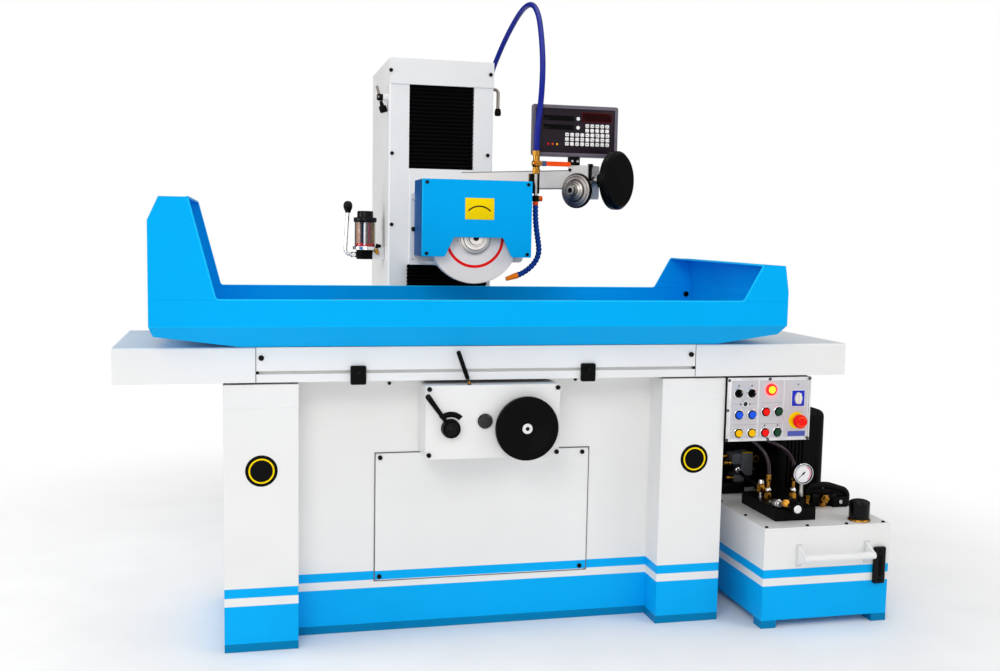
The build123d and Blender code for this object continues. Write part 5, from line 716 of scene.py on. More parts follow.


# Bed: grey strips round the access cover that paint the shade in its gap, screws and the round blanking
# plates on the legs
boxes("cover_gap_shade", shade_line_grey, "base", 0.4, *strips(-387, 423, 192, 665, 4.2, -184, -186.6))
screws("cover_screws", "base", front, 8.5, [(x, -188, z) for x in (-371, 398) for z in (206, 650)])
screws("recess_screws", "base", front, 6.5, [(-339, -184, 923), (365, -184, 928)])
boxes(
    "bed_side_covers", plate_grey, "base", 1, ((-337.6, 520, 330), (-334.6, 1500, 700)),
    ((384.6, 520, 330), (387.6, 1500, 700)),
)
cover_corners = [(y, z) for y in (535, 1010, 1485) for z in (345, 685)]
screws("left_side_screws", "base", towards_left, 6.5, [(-337.6, y, z) for y, z in cover_corners])
screws("right_side_screws", "base", towards_right, 6.5, [(387.6, y, z) for y, z in cover_corners])
leg_places = [(-795, -306, 641), (805, -306, 635)]
turned(
    "leg_blank_plates", satin_black, "base", front, leg_places, 64, (0, 2.6), (46, 2.6), (52.5, 2.2),
    (54.8, 1), (55, -0.4),
)
turned(
    "leg_plate_rings", sign_yellow, "base", front, leg_places, 64, (38.5, 2), (38.5, 3.2), (44, 3.2),
    (44, 2), (38.5, 2),
)

# Control box: screws, speed scale, plug, lever boss and handwheel washer
screws("box_screws", "base", front, 8.5, [(x, -352, z) for x in (-220, 248) for z in (688, 923)])
speed_seat = (-143, -352, 783)
arcs(
    "speed_scale", moulded_black, "base", front, speed_seat, 24, [44.4], 91.2, (40, 0), (40, 2.6),
    (59.4, 2.6), (59.4, 0),
)
marks(
    "speed_scale_marks", plug_grey, "base", front, speed_seat,
    *[(52 + 9.5 * tick, (50, -0.4, 2.4), (56, 0.4, 2.9)) for tick in range(9)],
)
plug_place = (-19, -352, 806)
turned(
    "plug_face", plug_grey, "base", front, plug_place, 40, (0, 6.8), (20.5, 6.8), (22.5, 6.2),
    (22.8, 5.8),
)
turned(
    "plug_edge", moulded_black, "base", front, plug_place, 40, (22.8, 6), (24, 7.4), (25.8, 7.2),
    (26.6, 6), (26.6, -0.4),
)
turned(
    "speed_lever_boss", knob_black, "speed_lever", front, (-143, -376.3, 783), 48, (0, 8), (6, 7.8),
    (11.5, 6.2), (12.5, 3), (18.5, 2.6), (19.5, 4), (23.2, 4), (24.5, 2.4), (25, -0.6),
)
speed_tilt = leaning(36)
speed_end = Vector((-143, -365.5, 783)) + 144 * speed_tilt
turned(
    "speed_lever_end", knob_black, "speed_lever", speed_tilt, speed_end, 40, (0, 7), (4.5, 6.4), (8.2, 4),
    (10.2, 0), (10.2, -6), (9.6, -6.4),
)
wheel_face = (127, -391, 782)
turned(
    "crossfeed_washer", polished_rim, "crossfeed", front, wheel_face, 48, (6.8, 2), (7.2, 4.7), (17.8, 4.7),
    (18.8, 3.8), (18.8, -0.4), (6.8, -0.4), (6.8, 2),
)
turned(
    "crossfeed_centre_screw", screw_black, "crossfeed", front, wheel_face, 24, (0, 5.2), (1.8, 5.2),
    (2.4, 7), (5.8, 7.4), (7, 6), (7, 4),
)
reverse_tilt = leaning(20)
reverse_root = Vector((-66, -338, 915))
turned(
    "reversing_sleeve", oiled_brass, "reversing_lever", reverse_tilt, reverse_root + 25 * reverse_tilt, 40,
    (5.5, 0), (6.4, 0.6), (6.4, 8.5), (5.5, 9), (5.5, 0),
)
turned(
    "reversing_grip", moulded_black, "reversing_lever", reverse_tilt, reverse_root, 32, (5.5, 45),
    (7.4, 45.8), (7.8, 48), (7.8, 144), (6.8, 148), (5.5, 148.4),
)
turned(
    "reversing_lever_cap", knob_black, "reversing_lever", reverse_tilt, reverse_root + 148 * reverse_tilt,
    40, (0, 2.2), (3, 2), (5.2, 0.8), (5.8, -1), (5.8, -6), (5.4, -6.2),
)

# Table: rail joints and screws, dog screws, the splash trough's rolled edges in a lighter blue that is a
# painted highlight, a painted highlight line along its fold, and its corner gussets
boxes(
    "rail_joints", seam_dark, "table", 0,
    *[((x - 1.1, -319.5, 951), (x + 1.1, -318.8, 1070.5)) for x in (-813, 791)],
)
screws("rail_screws", "table", front, 9.5, [(-795, -319, 1035), (772, -319, 1034)])
boxes(
    "groove_stops", screw_black, "table", 0.4,
    *[((x - 4.5, -318.7, 979.2), (x + 4.5, -312, 988.8)) for x in (-807.5, 785.5)],
)
for name, x in (("left", -466), ("right", 369)):
    screws(f"trip_dog_{name}_screw", f"trip_dog_{name}", front, 8.5, [(x, -330.4, 984)], knob_black)
hem_y = 444.5
corner_reach = 11
left_foot, left_tip = (-941, 1240), (-1027, 1571)
right_foot, right_tip = (917, 1240), (990, 1371)
opening_line = [left_foot, right_foot, right_tip]
near_side = [(x, -hem_y, z) for x, z in opening_line]
far_side = [(x, hem_y, z) for x, z in reversed(opening_line)]
left_end = [(left_tip[0], y, left_tip[1]) for y in (hem_y, -hem_y)]
# Rolled edge round the trough's rim; its lighter blue is a painted highlight
rod(
    "trough_rolled_edge", highlight_blue, "table", 3.4, corner_reach, *near_side, *far_side, *left_end,
    closed=True,
)
gussets = []
for foot, tip in ((left_foot, left_tip), (right_foot, right_tip)):
    corner = Vector(foot)
    inward = Vector((1 if foot[0] < 0 else -1, 0))
    slope = (Vector(tip) - corner).normalized()
    start, end = corner + inward * corner_reach, corner + slope * corner_reach
    bow = [
        start.lerp(corner, share).lerp(corner.lerp(end, share), share)
        for share in (0, 0.25, 0.5, 0.75, 1)
    ]
    gussets.append([tuple(corner)] + [tuple(point) for point in bow])
for name, y in (("front", -443), ("rear", 446)):
    plates(f"trough_{name}_gussets", splash_blue, "table", facing(front, (0, y, 0)), 3, *gussets)
# A lighter blue strip along the skirt's fold, which is a painted highlight
boxes("trough_fold_highlight", highlight_blue, "table", 0.3, ((-1148, -446.6, 1151.2), (1089, -445.6, 1153)))
turned(
    "hood_plug", moulded_black, "table", front, (1067, 443, 1213.5), 40, (0, 5), (8, 4.8), (11.2, 3.4),
    (12.2, 1.4), (12.4, -0.4),
)

# Column: screws, lubricator, clamp levers and hose gland
screws("cap_screws", "column", front, 8.5, [(-208, 834, 2181), (247, 834, 2182)])
strip_places = [(-200, 840, 1816), (-199, 840, 1498), (240, 840, 1820), (240, 840, 1500)]
screws("strip_screws", "column", front, 8.5, strip_places)
boxes("column_rear_cover", plate_grey, "column", 1.2, ((-155, 1479.8, 1060), (205, 1483, 2130)))
rear_places = [(x, 1483, z) for x in (-140, 190) for z in (1080, 1420, 1770, 2110)]
screws("rear_cover_screws", "column", rear, 7.5, rear_places)
boxes(
    "rear_cover_louvres", seam_dark, "column", 0.8,
    *[((-80, 1482.6, 1800 + 26 * row), (130, 1485, 1812 + 26 * row)) for row in range(9)],
)
oiler = (-300, 1000, 0)
cup = turned(
    "lubricator_glass", cup_clear, "column", above, oiler, 64, (43.8, 1394.2), (47.8, 1394.2), (48, 1396),
    (48, 1506), (44, 1506), (43.8, 1394.2),
)
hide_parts("lubricator_cup")
turned(
    "lubricator_oil", oil_red, "column", above, oiler, 48, (0, 1394.4), (43.2, 1394.4), (43.4, 1408),
    (42.8, 1409.5), (0, 1409.2),
)
turned(
    "lubricator_cap", knob_black, "column", above, oiler, 64, (30, 1505), (50, 1505), (52.6, 1507.2),
    (53, 1510), (53, 1524), (51.5, 1527), (49, 1528), (38.5, 1528.2), (37.5, 1530), (37, 1534),
    (36.8, 1553), (34.5, 1557), (30, 1558), (0, 1558.2),
)
turned(
    "lubricator_ring", polished_rim, "column", above, oiler, 64, (48, 1379.5), (55.2, 1379.5),
    (56.4, 1380.8), (56.4, 1393.2), (55.2, 1394.5), (44, 1394.6),
)
# Coloured rods inside the glass, whose colours are painted reflection of the glass's surroundings
for name, finish, dx, dy, thick in (
    ("navy", reflection_navy, -12, -20, 7.2), ("wine", reflection_wine, 14, -20, 4.6), ("olive", reflection_olive, 33, -10, 7.5),
    ("salmon", reflection_salmon, -31, -10, 8.5), ("copper", reflection_salmon, -22, 10, 5.5),
    ("rear", reflection_wine, 25, 12, 6),
):
    bar = [(0, 1408.5), (thick, 1408.5), (thick, 1498), (thick * 0.8, 1505.2), (0, 1505.5)]
    turned(f"lubricator_{name}_rod", finish, "column", above, (-300 + dx, 1000 + dy, 0), 24, *bar)
# A white strip on the front of the glass, which is a painted highlight on the glass
arcs(
    "lubricator_glass_highlight", key_white, "column", above, oiler, 6, [76], 9, (47.9, 1400), (47.9, 1503.5),
    (48.6, 1503.5), (48.6, 1400),
)
pump = turned(
    "lubricator_base", moulded_black, "column", above, oiler, 56, (0, 1336), (38.5, 1336), (40, 1337.2),
    (40.2, 1374), (41.5, 1379), (50, 1379.6),
)
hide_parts("lubricator_pump")
boxes("lubricator_bracket", machine_white, "column", 3, ((-299, 976, 1336), (-213, 1024, 1393)))
boxes("lubricator_ear", moulded_black, "column", 3, ((-365, 1007.5, 1344), (-320, 1015.5, 1368)))
turned(
    "lubricator_ear_pin", bright_steel, "column", front, (-353, 1011.5, 1356), 20, (0, 23), (3.6, 23),
    (3.9, 22.2), (3.9, 0),
)
outlet = [(0, 23), (6, 23), (7.5, 20), (7.5, 10), (10.5, 9), (10.5, 0)]
turned("lubricator_outlet", moulded_black, "column", (0.95, -0.3, 0), (-252, 975, 1398), 16, *outlet)
turned("lubricator_nipple", oiled_brass, "column", (0.4, -0.6, -0.7), (-254, 968, 1378), 12, *outlet)
turned(
    "lubricator_ball", knob_black, "lubricator_lever", above, (-380, 1000, 1579), 32, (0, 23.6), (8, 22.4),
    (15, 18), (19.6, 11), (21, 3), (20.6, -6), (19, -12), (15, -21), (11.8, -30), (10.4, -31.2), (7, -31.2),
)
rod(
    "lubricator_lever_rod", polished_rim, "lubricator_lever", 8.2, 20.5, (-370, 1000, 1356),
    (-392, 1000, 1356), (-380.2, 1000, 1558),
)
left_lean = leaning(16)
left_hub = Vector((-248, 905, 2068))
bare_rod = [(4.5, 16), (6, 16.2), (6, 51.5), (4.6, 52.6), (0, 52.7)]
bare_neck = [(4.5, -15.2), (4.9, -15.4), (4.9, -18), (4.5, -18.2)]
turnings(
    "left_clamp_rod", aged_steel, "clamp_lever_left",
    [(profile, left_lean, left_hub, 20) for profile in (bare_rod, bare_neck)],
)
turned(
    "left_clamp_knob", moulded_black, "clamp_lever_left", -left_lean, left_hub, 28, (0, 70.2), (13.8, 70),
    (15.6, 68.2), (17.2, 60), (17.2, 45), (15.2, 39.5), (6, 38), (0, 38),
)
turned(
    "left_clamp_pin", aged_steel, "clamp_lever_left", front, (-256, 888.5, 2068), 24, (0, 2.2), (4, 2),
    (5.2, 0.8), (5.6, -0.8), (0, -0.8),
)
turned(
    "right_clamp_knob", moulded_black, "clamp_lever_right", above, (299, 905, 0), 28, (0, 2006),
    (9.5, 2006.2), (13, 2008.5), (15, 2014), (15.2, 2023), (13.5, 2034), (11, 2039.5), (6, 2040),
)
turned(
    "right_clamp_washer", moulded_black, "clamp_lever_right", towards_right, (263, 905, 2126), 28, (7, 0.2),
    (13.2, 0.2), (13.2, 3), (11.8, 4.2), (7, 4.4),
)
right_rod = rod(
    "right_clamp_rod", aged_steel, "clamp_lever_right", 7.6, 18, (263.3, 905, 2126), (299, 905, 2126),
    (299, 905, 2034),
)
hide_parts("clamp_lever_right")
turned(
    "hose_gland_nut", moulded_black, "column", above, (289, 1180, 1972), 24, (11.8, 35), (15, 35), (17, 29),
    (20.6, 22), (20.6, -0.4),
)

# Wheel head: flange and guard screws, yellow plate, spindle nose
screws("flange_screws", "head", front, 5.6, [(-195, 222, z) for z in (1367, 1598)], bright_steel)
cover_low, cover_high = box_of("guard_cover")
# A lighter blue strip along the guard cover's left edge, which is a painted highlight
boxes(
    "guard_cover_edge_highlight", highlight_blue, "head", 0.3,
    (
        (cover_low[0], cover_low[1] - 0.5, cover_low[2] + 4),
        (cover_low[0] + 4.5, cover_low[1] + 1, cover_high[2] - 4),
    ),
)
turned(
    "flange_knob", knob_black, "head", front, (-195, 222, 1480), 24, (0, 16), (6, 15.5), (9, 13), (9.5, 5),
    (7, 4), (7, -0.4),
)
screws("guard_screws", "head", front, 6.6, [(x, 35, z) for x in (-172, 225) for z in (1389, 1659)])
boxes("guard_sign", sign_yellow, "head", 0.4, ((-24, 33.8, 1521), (90, 35.2, 1603)))
arcs(
    "guard_sign_arc", satin_black, "head", front, (32, 33.9, 1512), 30, [44], 92, (57.5, 0), (57.5, 0.7),
    (62.7, 0.7), (62.7, 0),
)
nose_grooves = [
    ([(inner, -0.3), (inner, 0.5), (outer, 0.5), (outer, -0.3), (inner, -0.3)], front, (25, y, 1449.5), 64)
    for inner, outer, y in ((59, 60.6, 68), (45.5, 48, 68), (34, 35.2, 63), (25.5, 28, 63))
]
turnings("flange_grooves", seam_dark, "spindle", nose_grooves)
turned(
    "spindle_nose_bolt", screw_black, "spindle", front, (25, 54, 1449.5), 28, (0, 0.8), (5, 0.8), (6, 2.6),
    (9.8, 3), (11, 1.8), (11.2, -0.3),
)

# Elevating drive: dial ring and marks, boss, clamp bar, screws and the readout's bracket
drive_ahead = Vector((0.656059, -0.75471, 0))
drive_side = Vector((-0.75471, -0.656059, 0))
wheel_centre = Vector((588, 30, 1685))
dial_seat = Vector((483.4, 150.4, 1644)) + 45.5 * drive_side
turned(
    "dial_ring", moulded_black, "elevating_dial", drive_side, dial_seat, 72, (63, -0.3), (68.8, -0.3),
    (69.5, 0.6), (69.5, 6.6), (68.8, 7.4), (63, 7.4), (63, -0.3),
)
marks(
    "dial_marks", screw_black, "elevating_dial", drive_side, dial_seat,
    *[(6 * tick, (63.8, -0.3, 8.5), (64.3, 0.3, 11.5 if tick % 5 else 13.5)) for tick in range(60)],
)
dial_bands = [
    [(r0, h0 - 0.4), (r0, h0 + 0.3), (r1, h1 + 0.3), (r1, h1 - 0.4), (r0, h0 - 0.4)]
    for r0, h0, r1, h1 in (
        (57, 16.2, 55, 16.9), (45, 20, 42.2, 21), (41.5, 25.2, 39.5, 26.2), (32.5, 29.7, 31, 30.5),
        (23.5, 34.2, 20, 36),
    )
]
turnings(
    "dial_grooves", black_rod, "elevating_dial", [(band, drive_side, dial_seat, 72) for band in dial_bands],
)
socket = [(0, 44.6), (7.4, 44.6), (7.4, 54.8), (9, 55.3), (10, 55.3), (10, 54.9)]
turned("dial_socket", screw_black, "elevating_dial", drive_side, dial_seat, 24, *socket)
turned(
    "gearbox_boss", bright_steel, "head", drive_ahead, wheel_centre - 113 * drive_ahead, 48, (20, -0.3),
    (25, -0.3), (25, 4), (23.7, 5), (21.8, 28.5), (20.8, 29.8), (13, 29.8),
)
bar_foot = wheel_centre - 108 * drive_ahead + 34 * drive_side
bar_turn = facing(above, (bar_foot.x, bar_foot.y, 0), 131)
boxes(
    "gearbox_clamp_bar", moulded_black, "head", 1.5, ((-5.5, -5, 1684), (5.5, 5, 1738)),
    ((-9, -6, 1736), (9, 6, 1750)), matrix=bar_turn,
)
screws("gearbox_screws", "head", drive_side, 6.5, [(425.6, 148.3, 1727), (425.6, 148.3, 1630)])
boxes("readout_bracket", satin_black, "head", 1, ((419, 139.3, 1744.8), (463, 164.5, 1778.6)))
screws("bracket_screws", "head", front, 5.5, [(x, 139.3, 1762) for x in (430, 452)], bright_steel)

# Digital readout: dark face, screens, keys and lamps
boxes("readout_face", face_dark, "head", 0.4, ((273.2, 128.8, 1793.2), (600.8, 130.4, 1965.8)))
screen_spans = [((305, z), (430, z + 20)) for z in (1918.5, 1883.5)]
boxes(
    "readout_screens", screen_glass, "head", 0.6,
    *[((x0, 127.4, z0), (x1, 129.2, z1)) for (x0, z0), (x1, z1) in screen_spans],
)
boxes("readout_red_screen", screen_red, "head", 0.6, ((464, 127.4, 1918), (589, 129.2, 1953)))
turned(
    "readout_round_keys", key_white, "head", front, [(448, 128.8, z) for z in (1928, 1893)], 24, (0, 4.2),
    (5.2, 4), (7.2, 2.6), (7.6, -0.4),
)
keys = [(486 + 21 * column, z, 15, 14.2) for column in range(5) for z in (1901.5, 1883.5)]
keys += [(403 + 21.1 * column, 1865 - 18 * row, 15.2, 14.5) for column in range(9) for row in range(3)]
boxes(
    "readout_keys", key_white, "head", 2.7,
    *[((x - w / 2, 126.2, z - h / 2), (x + w / 2, 129, z + h / 2)) for x, z, w, h in keys],
)
boxes(
    "readout_key_marks", plug_grey, "head", 0,
    *[((x - w / 4, 125.9, z - 1.2), (x + w / 5, 126.3, z + 1)) for x, z, w, h in keys[::2]],
)
boxes("readout_red_edges", cap_dim, "head", 0, *strips(466, 587, 1920, 1951, 2.4, 127.8, 127.1))
for number, (x, finish) in enumerate(((326, cap_red), (344, grip_orange), (363, cap_yellow)), 1):
    turned(
        f"readout_lamp_{number}", finish, "head", front, (x, 128.8, 1826), 16, (0, 3), (3, 2.6), (4.4, 1),
        (4.6, -0.4),
    )

# Elevating arm: shadow lines along the long edges of the face that the operator sees
arm_low, arm_high = box_of("elevating_arm")
for edge, height in (("upper", arm_high[2] - 1.2), ("lower", arm_low[2] + 1.2)):
    rod(f"arm_edge_{edge}", shade_line_grey, "head", 1.8, 0, (69, 579.5, height), (429, 165.5, height))

# Coolant valve: pipe, bracket, clip and knob, lever's root and ferrule, nozzle's collar and tip
valve = (269, 90, 0)
turned(
    "coolant_pipe", turned_steel, "head", above, valve, 28, (7, 1618.5), (7.4, 1619), (7.4, 1704.8),
    (7, 1705.2),
)
boxes("pipe_bracket", satin_black, "head", 1, ((241.2, 89.3, 1627.4), (283.6, 102.6, 1704.6)))
turned(
    "nozzle_clip", moulded_black, "head", above, valve, 32, (9, 1596.5), (13.6, 1596.5), (14.5, 1598),
    (14.5, 1618.5), (13.6, 1619.8), (7, 1620),
)
turned(
    "nozzle_clip_knob", grip_orange, "head", towards_right, (283, 90, 1608), 24, (0, 12.6), (7, 12.6),
    (9.8, 11.2), (10.6, 9), (10.6, 2), (9, 0.6), (6, -0.4),
)
boxes("valve_lever_root", oiled_brass, "valve_lever", 1.6, ((260, 61.9, 1734.6), (285.8, 71.1, 1753.4)))
boxes("valve_lever_ferrule", ferrule_slate, "valve_lever", 1.8, ((285.2, 61.5, 1734), (303, 71.5, 1754)))
turned(
    "valve_stem_nut", oiled_brass, "valve_lever", front, (269, 62.2, 1744), 6, (0, 6.2), (4.8, 6.2),
    (5.2, 5), (8.8, 4.8), (9.4, 4), (9.4, -0.4),
)
turned(
    "nozzle_collar", grip_orange, "coolant_nozzle", above, valve, 32, (8.2, 1581.5), (10.6, 1582.2),
    (11.4, 1584), (11.4, 1593.5), (10.6, 1595), (8.2, 1595.5),
)
nozzle_aim = (-0.9487, 0, -0.3162)
tip = [(0, -1), (11.2, -1), (11.8, 1), (11.8, 8), (8.2, 46), (7.6, 48.6), (5, 48.6), (4.6, 44), (0, 43)]
turned("nozzle_tip", tip_orange, "coolant_nozzle", nozzle_aim, (201, 90, 1306), 28, *tip)

# Control panel: frame, lines, screws, bezels, lamp, switch plate, stop disc and a plain strip
panel_left, panel_y, panel_bottom = 922, -316, 698


def on_panel(x, z):
    """Place on the panel's face, measured from its lower left corner."""
    return (panel_left + x, panel_y, panel_bottom + z)


sheet = boxes(
    "panel_sheet", panel_edge, "base", 0.6,
    ((926, panel_y, 698), (1274, panel_y + 4, 943)),
    *strips(933, 1267, 705, 936, 6.8, panel_y + 0.2, panel_y - 1.4),
)
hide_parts("panel_plate")
label_spans = ((943, 1052), (1059, 1159), (1164, 1260))
boxes(
    "panel_labels", panel_silver, "base", 0.4,
    *[((x0, panel_y - 0.9, 710.5), (x1, panel_y + 0.4, 931.5)) for x0, x1 in label_spans],
)
line_spans = [(950, 1046, 842), (1065, 1153, 844), (950, 1046, 762), (1065, 1153, 764)]
boxes(
    "panel_lines", plug_grey, "base", 0,
    *[((x0, panel_y - 1.2, z), (x1, panel_y - 0.6, z + 0.6)) for x0, x1, z in line_spans],
)
screw_spots = ((10, 235), (178, 239), (345, 239), (8, 120), (8, 6), (178, 5), (345, 6))
screws("panel_screws", "base", front, 5.5, [on_panel(x, z) for x, z in screw_spots])
button_spots = ((53, 103), (107, 103), (54, 33), (108, 33), (164, 113), (163, 33), (217, 113), (215, 33))
button_places = [on_panel(x, z) for x, z in button_spots]
turned(
    "button_bezels", polished_rim, "base", front, button_places, 40, (17.2, -0.2), (17.2, 6.6), (18.4, 7.2),
    (20, 6.2), (21.4, 4.2), (22.6, 1), (22.6, -0.2), (17.2, -0.2),
)
turned(
    "button_inner_rings", moulded_black, "base", front, button_places, 40, (13.7, -0.2), (13.7, 7.8),
    (14.6, 8.6), (16.6, 8.4), (17.8, 7), (17.8, -0.2), (13.7, -0.2),
)
knob_spots = [on_panel(x, 185) for x in (50, 104)]
turned(
    "knob_collars", polished_rim, "base", front, knob_spots, 36, (16.8, -0.2), (16.8, 3.4), (18.6, 3),
    (20.4, 1), (20.6, -0.2),
)
turned(
    "knob_skirts", moulded_black, "base", front, knob_spots, 36, (13.3, -0.2), (13.3, 6), (15, 6.2),
    (16.8, 4.8), (17.2, -0.2),
)
for name, spot in zip(("left", "right"), knob_spots):
    pointer = (60, (4, -0.6, 22.6), (11, 0.6, 23.1))
    marks(f"knob_pointer_{name}", key_white, f"rotary_knob_{name}", front, spot, pointer)
dot_spots = ((50, 214), (104, 214), (297, 216), (163, 60), (217, 60), (60, 143), (97, 143))
turned(
    "panel_pilot_dots", plug_grey, "base", front, [on_panel(x, z) for x, z in dot_spots], 14, (0, 1.8),
    (2.8, 1.6), (3.6, -0.3),
)
lamp_spot = on_panel(184, 198)
turned(
    "lamp_lens_side", lens_red, "base", front, lamp_spot, 48, (22.6, -0.3), (22.6, 5), (21.8, 7.6),
    (19.6, 9.8), (16.6, 10.8), (13.8, 10.8),
)
turned(
    "lamp_lens_middle", lens_amber, "base", front, lamp_spot, 48, (0, 14.2), (6, 13.7), (11, 12.2),
    (14.2, 10),
)
switch_x, switch_y, switch_z = on_panel(297, 163)
boxes(
    "switch_border", knob_cream, "base", 0.8,
    ((switch_x - 28.5, switch_y - 4.6, switch_z - 32.5), (switch_x + 28.5, switch_y, switch_z + 32.5)),
)
boxes(
    "switch_plate", sign_blue, "base", 0.6,
    (
        (switch_x - 26.2, switch_y - 5.4, switch_z - 30.2),
        (switch_x + 26.2, switch_y - 0.2, switch_z + 30.2),
    ),
)
work = bmesh.new()
switch_stand = facing(front, on_panel(297, 163))
switch_skirt = [(0, 16), (15, 15.8), (20, 13.6), (22.8, 8.6), (23.4, 5.4), (23.4, 4.8)]
turn_profile(work, switch_skirt, switch_stand @ Matrix.Diagonal((0.64, 1, 1, 1)), 40)
box_into(work, (-4.6, -19.5, 14), (4.6, 21.5, 24), 3, 3, switch_stand)
handle = finished("switch_handle", work, knob_cream, "main_switch")
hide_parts("main_switch")
stop_spot = on_panel(295, 77)
turned(
    "stop_disc", sign_yellow, "base", front, stop_spot, 56, (12, 3.6), (30.5, 3.6), (32, 3),
    (32.4, 2), (32.4, -0.3),
)
turned(
    "stop_mushroom", cap_red, "emergency_stop", front, stop_spot, 56, (10, 19.5), (22.5, 20),
    (25.8, 22.2), (26.6, 25.5), (26.4, 37), (24.8, 41.2), (21.5, 43.4), (15, 44), (13, 43), (0, 43.4),
)
# Orange arcs on the mushroom's crown, which are a painted highlight
arcs(
    "stop_highlight_arcs", tip_orange, "emergency_stop", front, stop_spot, 20, (20, 200), 120, (16.8, 43.6),
    (16.8, 44.3), (18.4, 44.2), (18.4, 43.6),
)
boxes("panel_strip", strip_blue, "base", 0.3, ((1182, panel_y - 1.5, 713), (1255.5, panel_y - 0.2, 733)))
key_spot = on_panel(78.5, 144.5)
turned(
    "key_ring", polished_rim, "base", front, key_spot, 36, (8.2, -0.3), (8.2, 5), (10, 6.8),
    (12.8, 6.2), (14.6, 3.6), (15, -0.3),
)
turned(
    "key_barrel", plug_grey, "base", front, key_spot, 28, (0, 4), (1.4, 4), (2, 5.4),
    (6.2, 5.8), (8, 5), (8.4, 2),
)

# Hydraulic tank: hose fittings, gauge, relief valve, filler, level gauge and the valves behind the manifold
hose_seats = [(1000 * x, 1000 * y, 0) for (x, y, z), *_ in oil_routes]
turned(
    "hose_nuts", oiled_brass, "base", above, hose_seats, 6, (0, 431.6), (15, 431.6), (15, 454), (13.5, 458),
    (8, 458.5),
)
ball_turns = [math.pi * step / 12 for step in range(13)]
hose_ball = [(12.5 * math.sin(turn), 469 + 12.5 * math.cos(turn)) for turn in ball_turns]
turned("hose_unions", polished_rim, "base", above, hose_seats, 24, *hose_ball)
turned(
    "hose_tails", oiled_brass, "base", above, hose_seats, 28, (6.6, 478), (6.6, 505), (9.2, 506),
    (10.2, 508), (10.2, 520), (9.4, 521), (9.4, 523), (10.2, 524), (10.2, 532), (9.4, 533), (7.4, 533),
)
port_places = [(922, 1000 * route[-1][1], 1000 * route[-1][2]) for route in oil_routes]
turned(
    "bed_ports", oiled_brass, "base", towards_right, port_places, 6, (7.6, 28), (11, 28), (12.5, 24),
    (15, 23.5), (16.5, 21.5), (16.5, 0),
)
stub_place = (1165, -151, 0)
turned(
    "stub_stem", bright_steel, "base", above, stub_place, 24, (0, 431.6), (10, 431.6), (10, 438),
    (6.2, 439), (6.2, 458),
)
turned(
    "stub_body", oiled_brass, "base", above, stub_place, 6, (6, 456), (15, 456), (17, 459), (17, 486),
    (15, 490), (9, 490.5),
)
turned(
    "stub_cap", polished_rim, "base", above, stub_place, 24, (9.5, 490), (11.2, 490.5), (11.2, 501),
    (9.5, 506), (0, 507),
)
plug_places = [(1166, -236, 432), (1186, -262, 432)]
turned(
    "manifold_plugs", bright_steel, "base", above, plug_places, 6, (0, 7), (3, 7), (3.6, 9), (7, 9), (8, 8),
    (8, -0.4),
)

gauge_back = (1261, -282, 562)
gauge = turned(
    "gauge_case", moulded_black, "base", front, gauge_back, 56, (0, 0), (34, 0), (38.5, 2), (40.5, 6),
    (40.5, 27), (41.2, 27.5), (41.2, 30.5), (40, 32), (37.2, 32.2), (36.2, 31.2), (35.2, 31), (34.9, 28.1),
)
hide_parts("tank_fittings")
turned(
    "gauge_lip", polished_rim, "base", front, gauge_back, 56, (40.4, 27.2), (41.5, 27.6), (41.5, 30.6),
    (40.2, 32.4), (38.4, 32.6), (38, 31.8),
)
turned("gauge_dial", gauge_white, "base", front, gauge_back, 56, (0, 28.2), (35, 28.2), (35, 27))
marks(
    "gauge_marks", screw_black, "base", front, gauge_back,
    *[(225 - 9 * tick, (28.2 if tick % 5 else 26, -0.4, 28), (31, 0.4, 28.5)) for tick in range(31)],
)
arcs(
    "gauge_arc", gauge_rose, "base", front, gauge_back, 24, [-48], 112, (28.2, 28), (28.2, 28.4),
    (32.6, 28.4), (32.6, 28),
)
needle = [(-10.5, -2.2), (0, -1.6), (26, -0.4), (26, 0.4), (0, 1.6), (-10.5, 2.2)]
needle_turn = facing(front, gauge_back, 222) @ Matrix.Translation(metres((0, 0, 29)))
plates("gauge_needle", screw_black, "base", needle_turn, 0.8, needle)
turned("gauge_hub", screw_black, "base", front, gauge_back, 20, (0, 30.8), (3.4, 30.4), (4.2, 28.2))
gauge_seat = (1261, -298, 0)
turned(
    "gauge_stem", turned_steel, "base", above, gauge_seat, 28, (8, 470), (8.4, 471), (8.4, 493), (7.4, 495),
    (7.4, 527),
)
turned(
    "gauge_nut", satin_black, "base", above, gauge_seat, 6, (0, 431.6), (17, 431.6), (17, 456), (15, 459),
    (10.5, 460), (10.5, 470), (8, 470.5),
)

boxes("relief_block", satin_black, "base", 3, ((1179.8, -338.2, 431.8), (1226.2, -263.8, 466.2)))
relief = (1203, -338, 442)
turned(
    "relief_neck", bright_steel, "base", front, relief, 28, (0, 0), (14.5, 0), (14.5, 18), (12, 19),
    (0, 19),
)
turned(
    "relief_knob", moulded_black, "base", front, relief, 40, (12, 17.5), (24, 17.5), (25.8, 19),
    (26.2, 21.5), (26.2, 44), (25, 47), (22, 48.5), (16.5, 48.6), (15.8, 47),
)
turned(
    "relief_knob_face", polished_rim, "base", front, relief, 32, (0, 47), (5.2, 47), (6, 48.2),
    (14.5, 48.4), (16.2, 47.4),
)
turned(
    "relief_side_nut", oiled_brass, "base", (-0.45, -0.88, 0.15), (1188, -318, 452), 6, (0, 26), (9, 26),
    (10, 23.5), (15.5, 23), (16.5, 21), (16.5, 0),
)
turned(
    "relief_cartridge", bright_steel, "base", (0.1, -1, 0.05), (1156, -286, 447), 28, (0, 44), (12, 44),
    (14.5, 42), (14.5, 32), (16.5, 31), (16.5, 18), (14.5, 17), (14.5, 4), (12, 0), (0, 0),
)

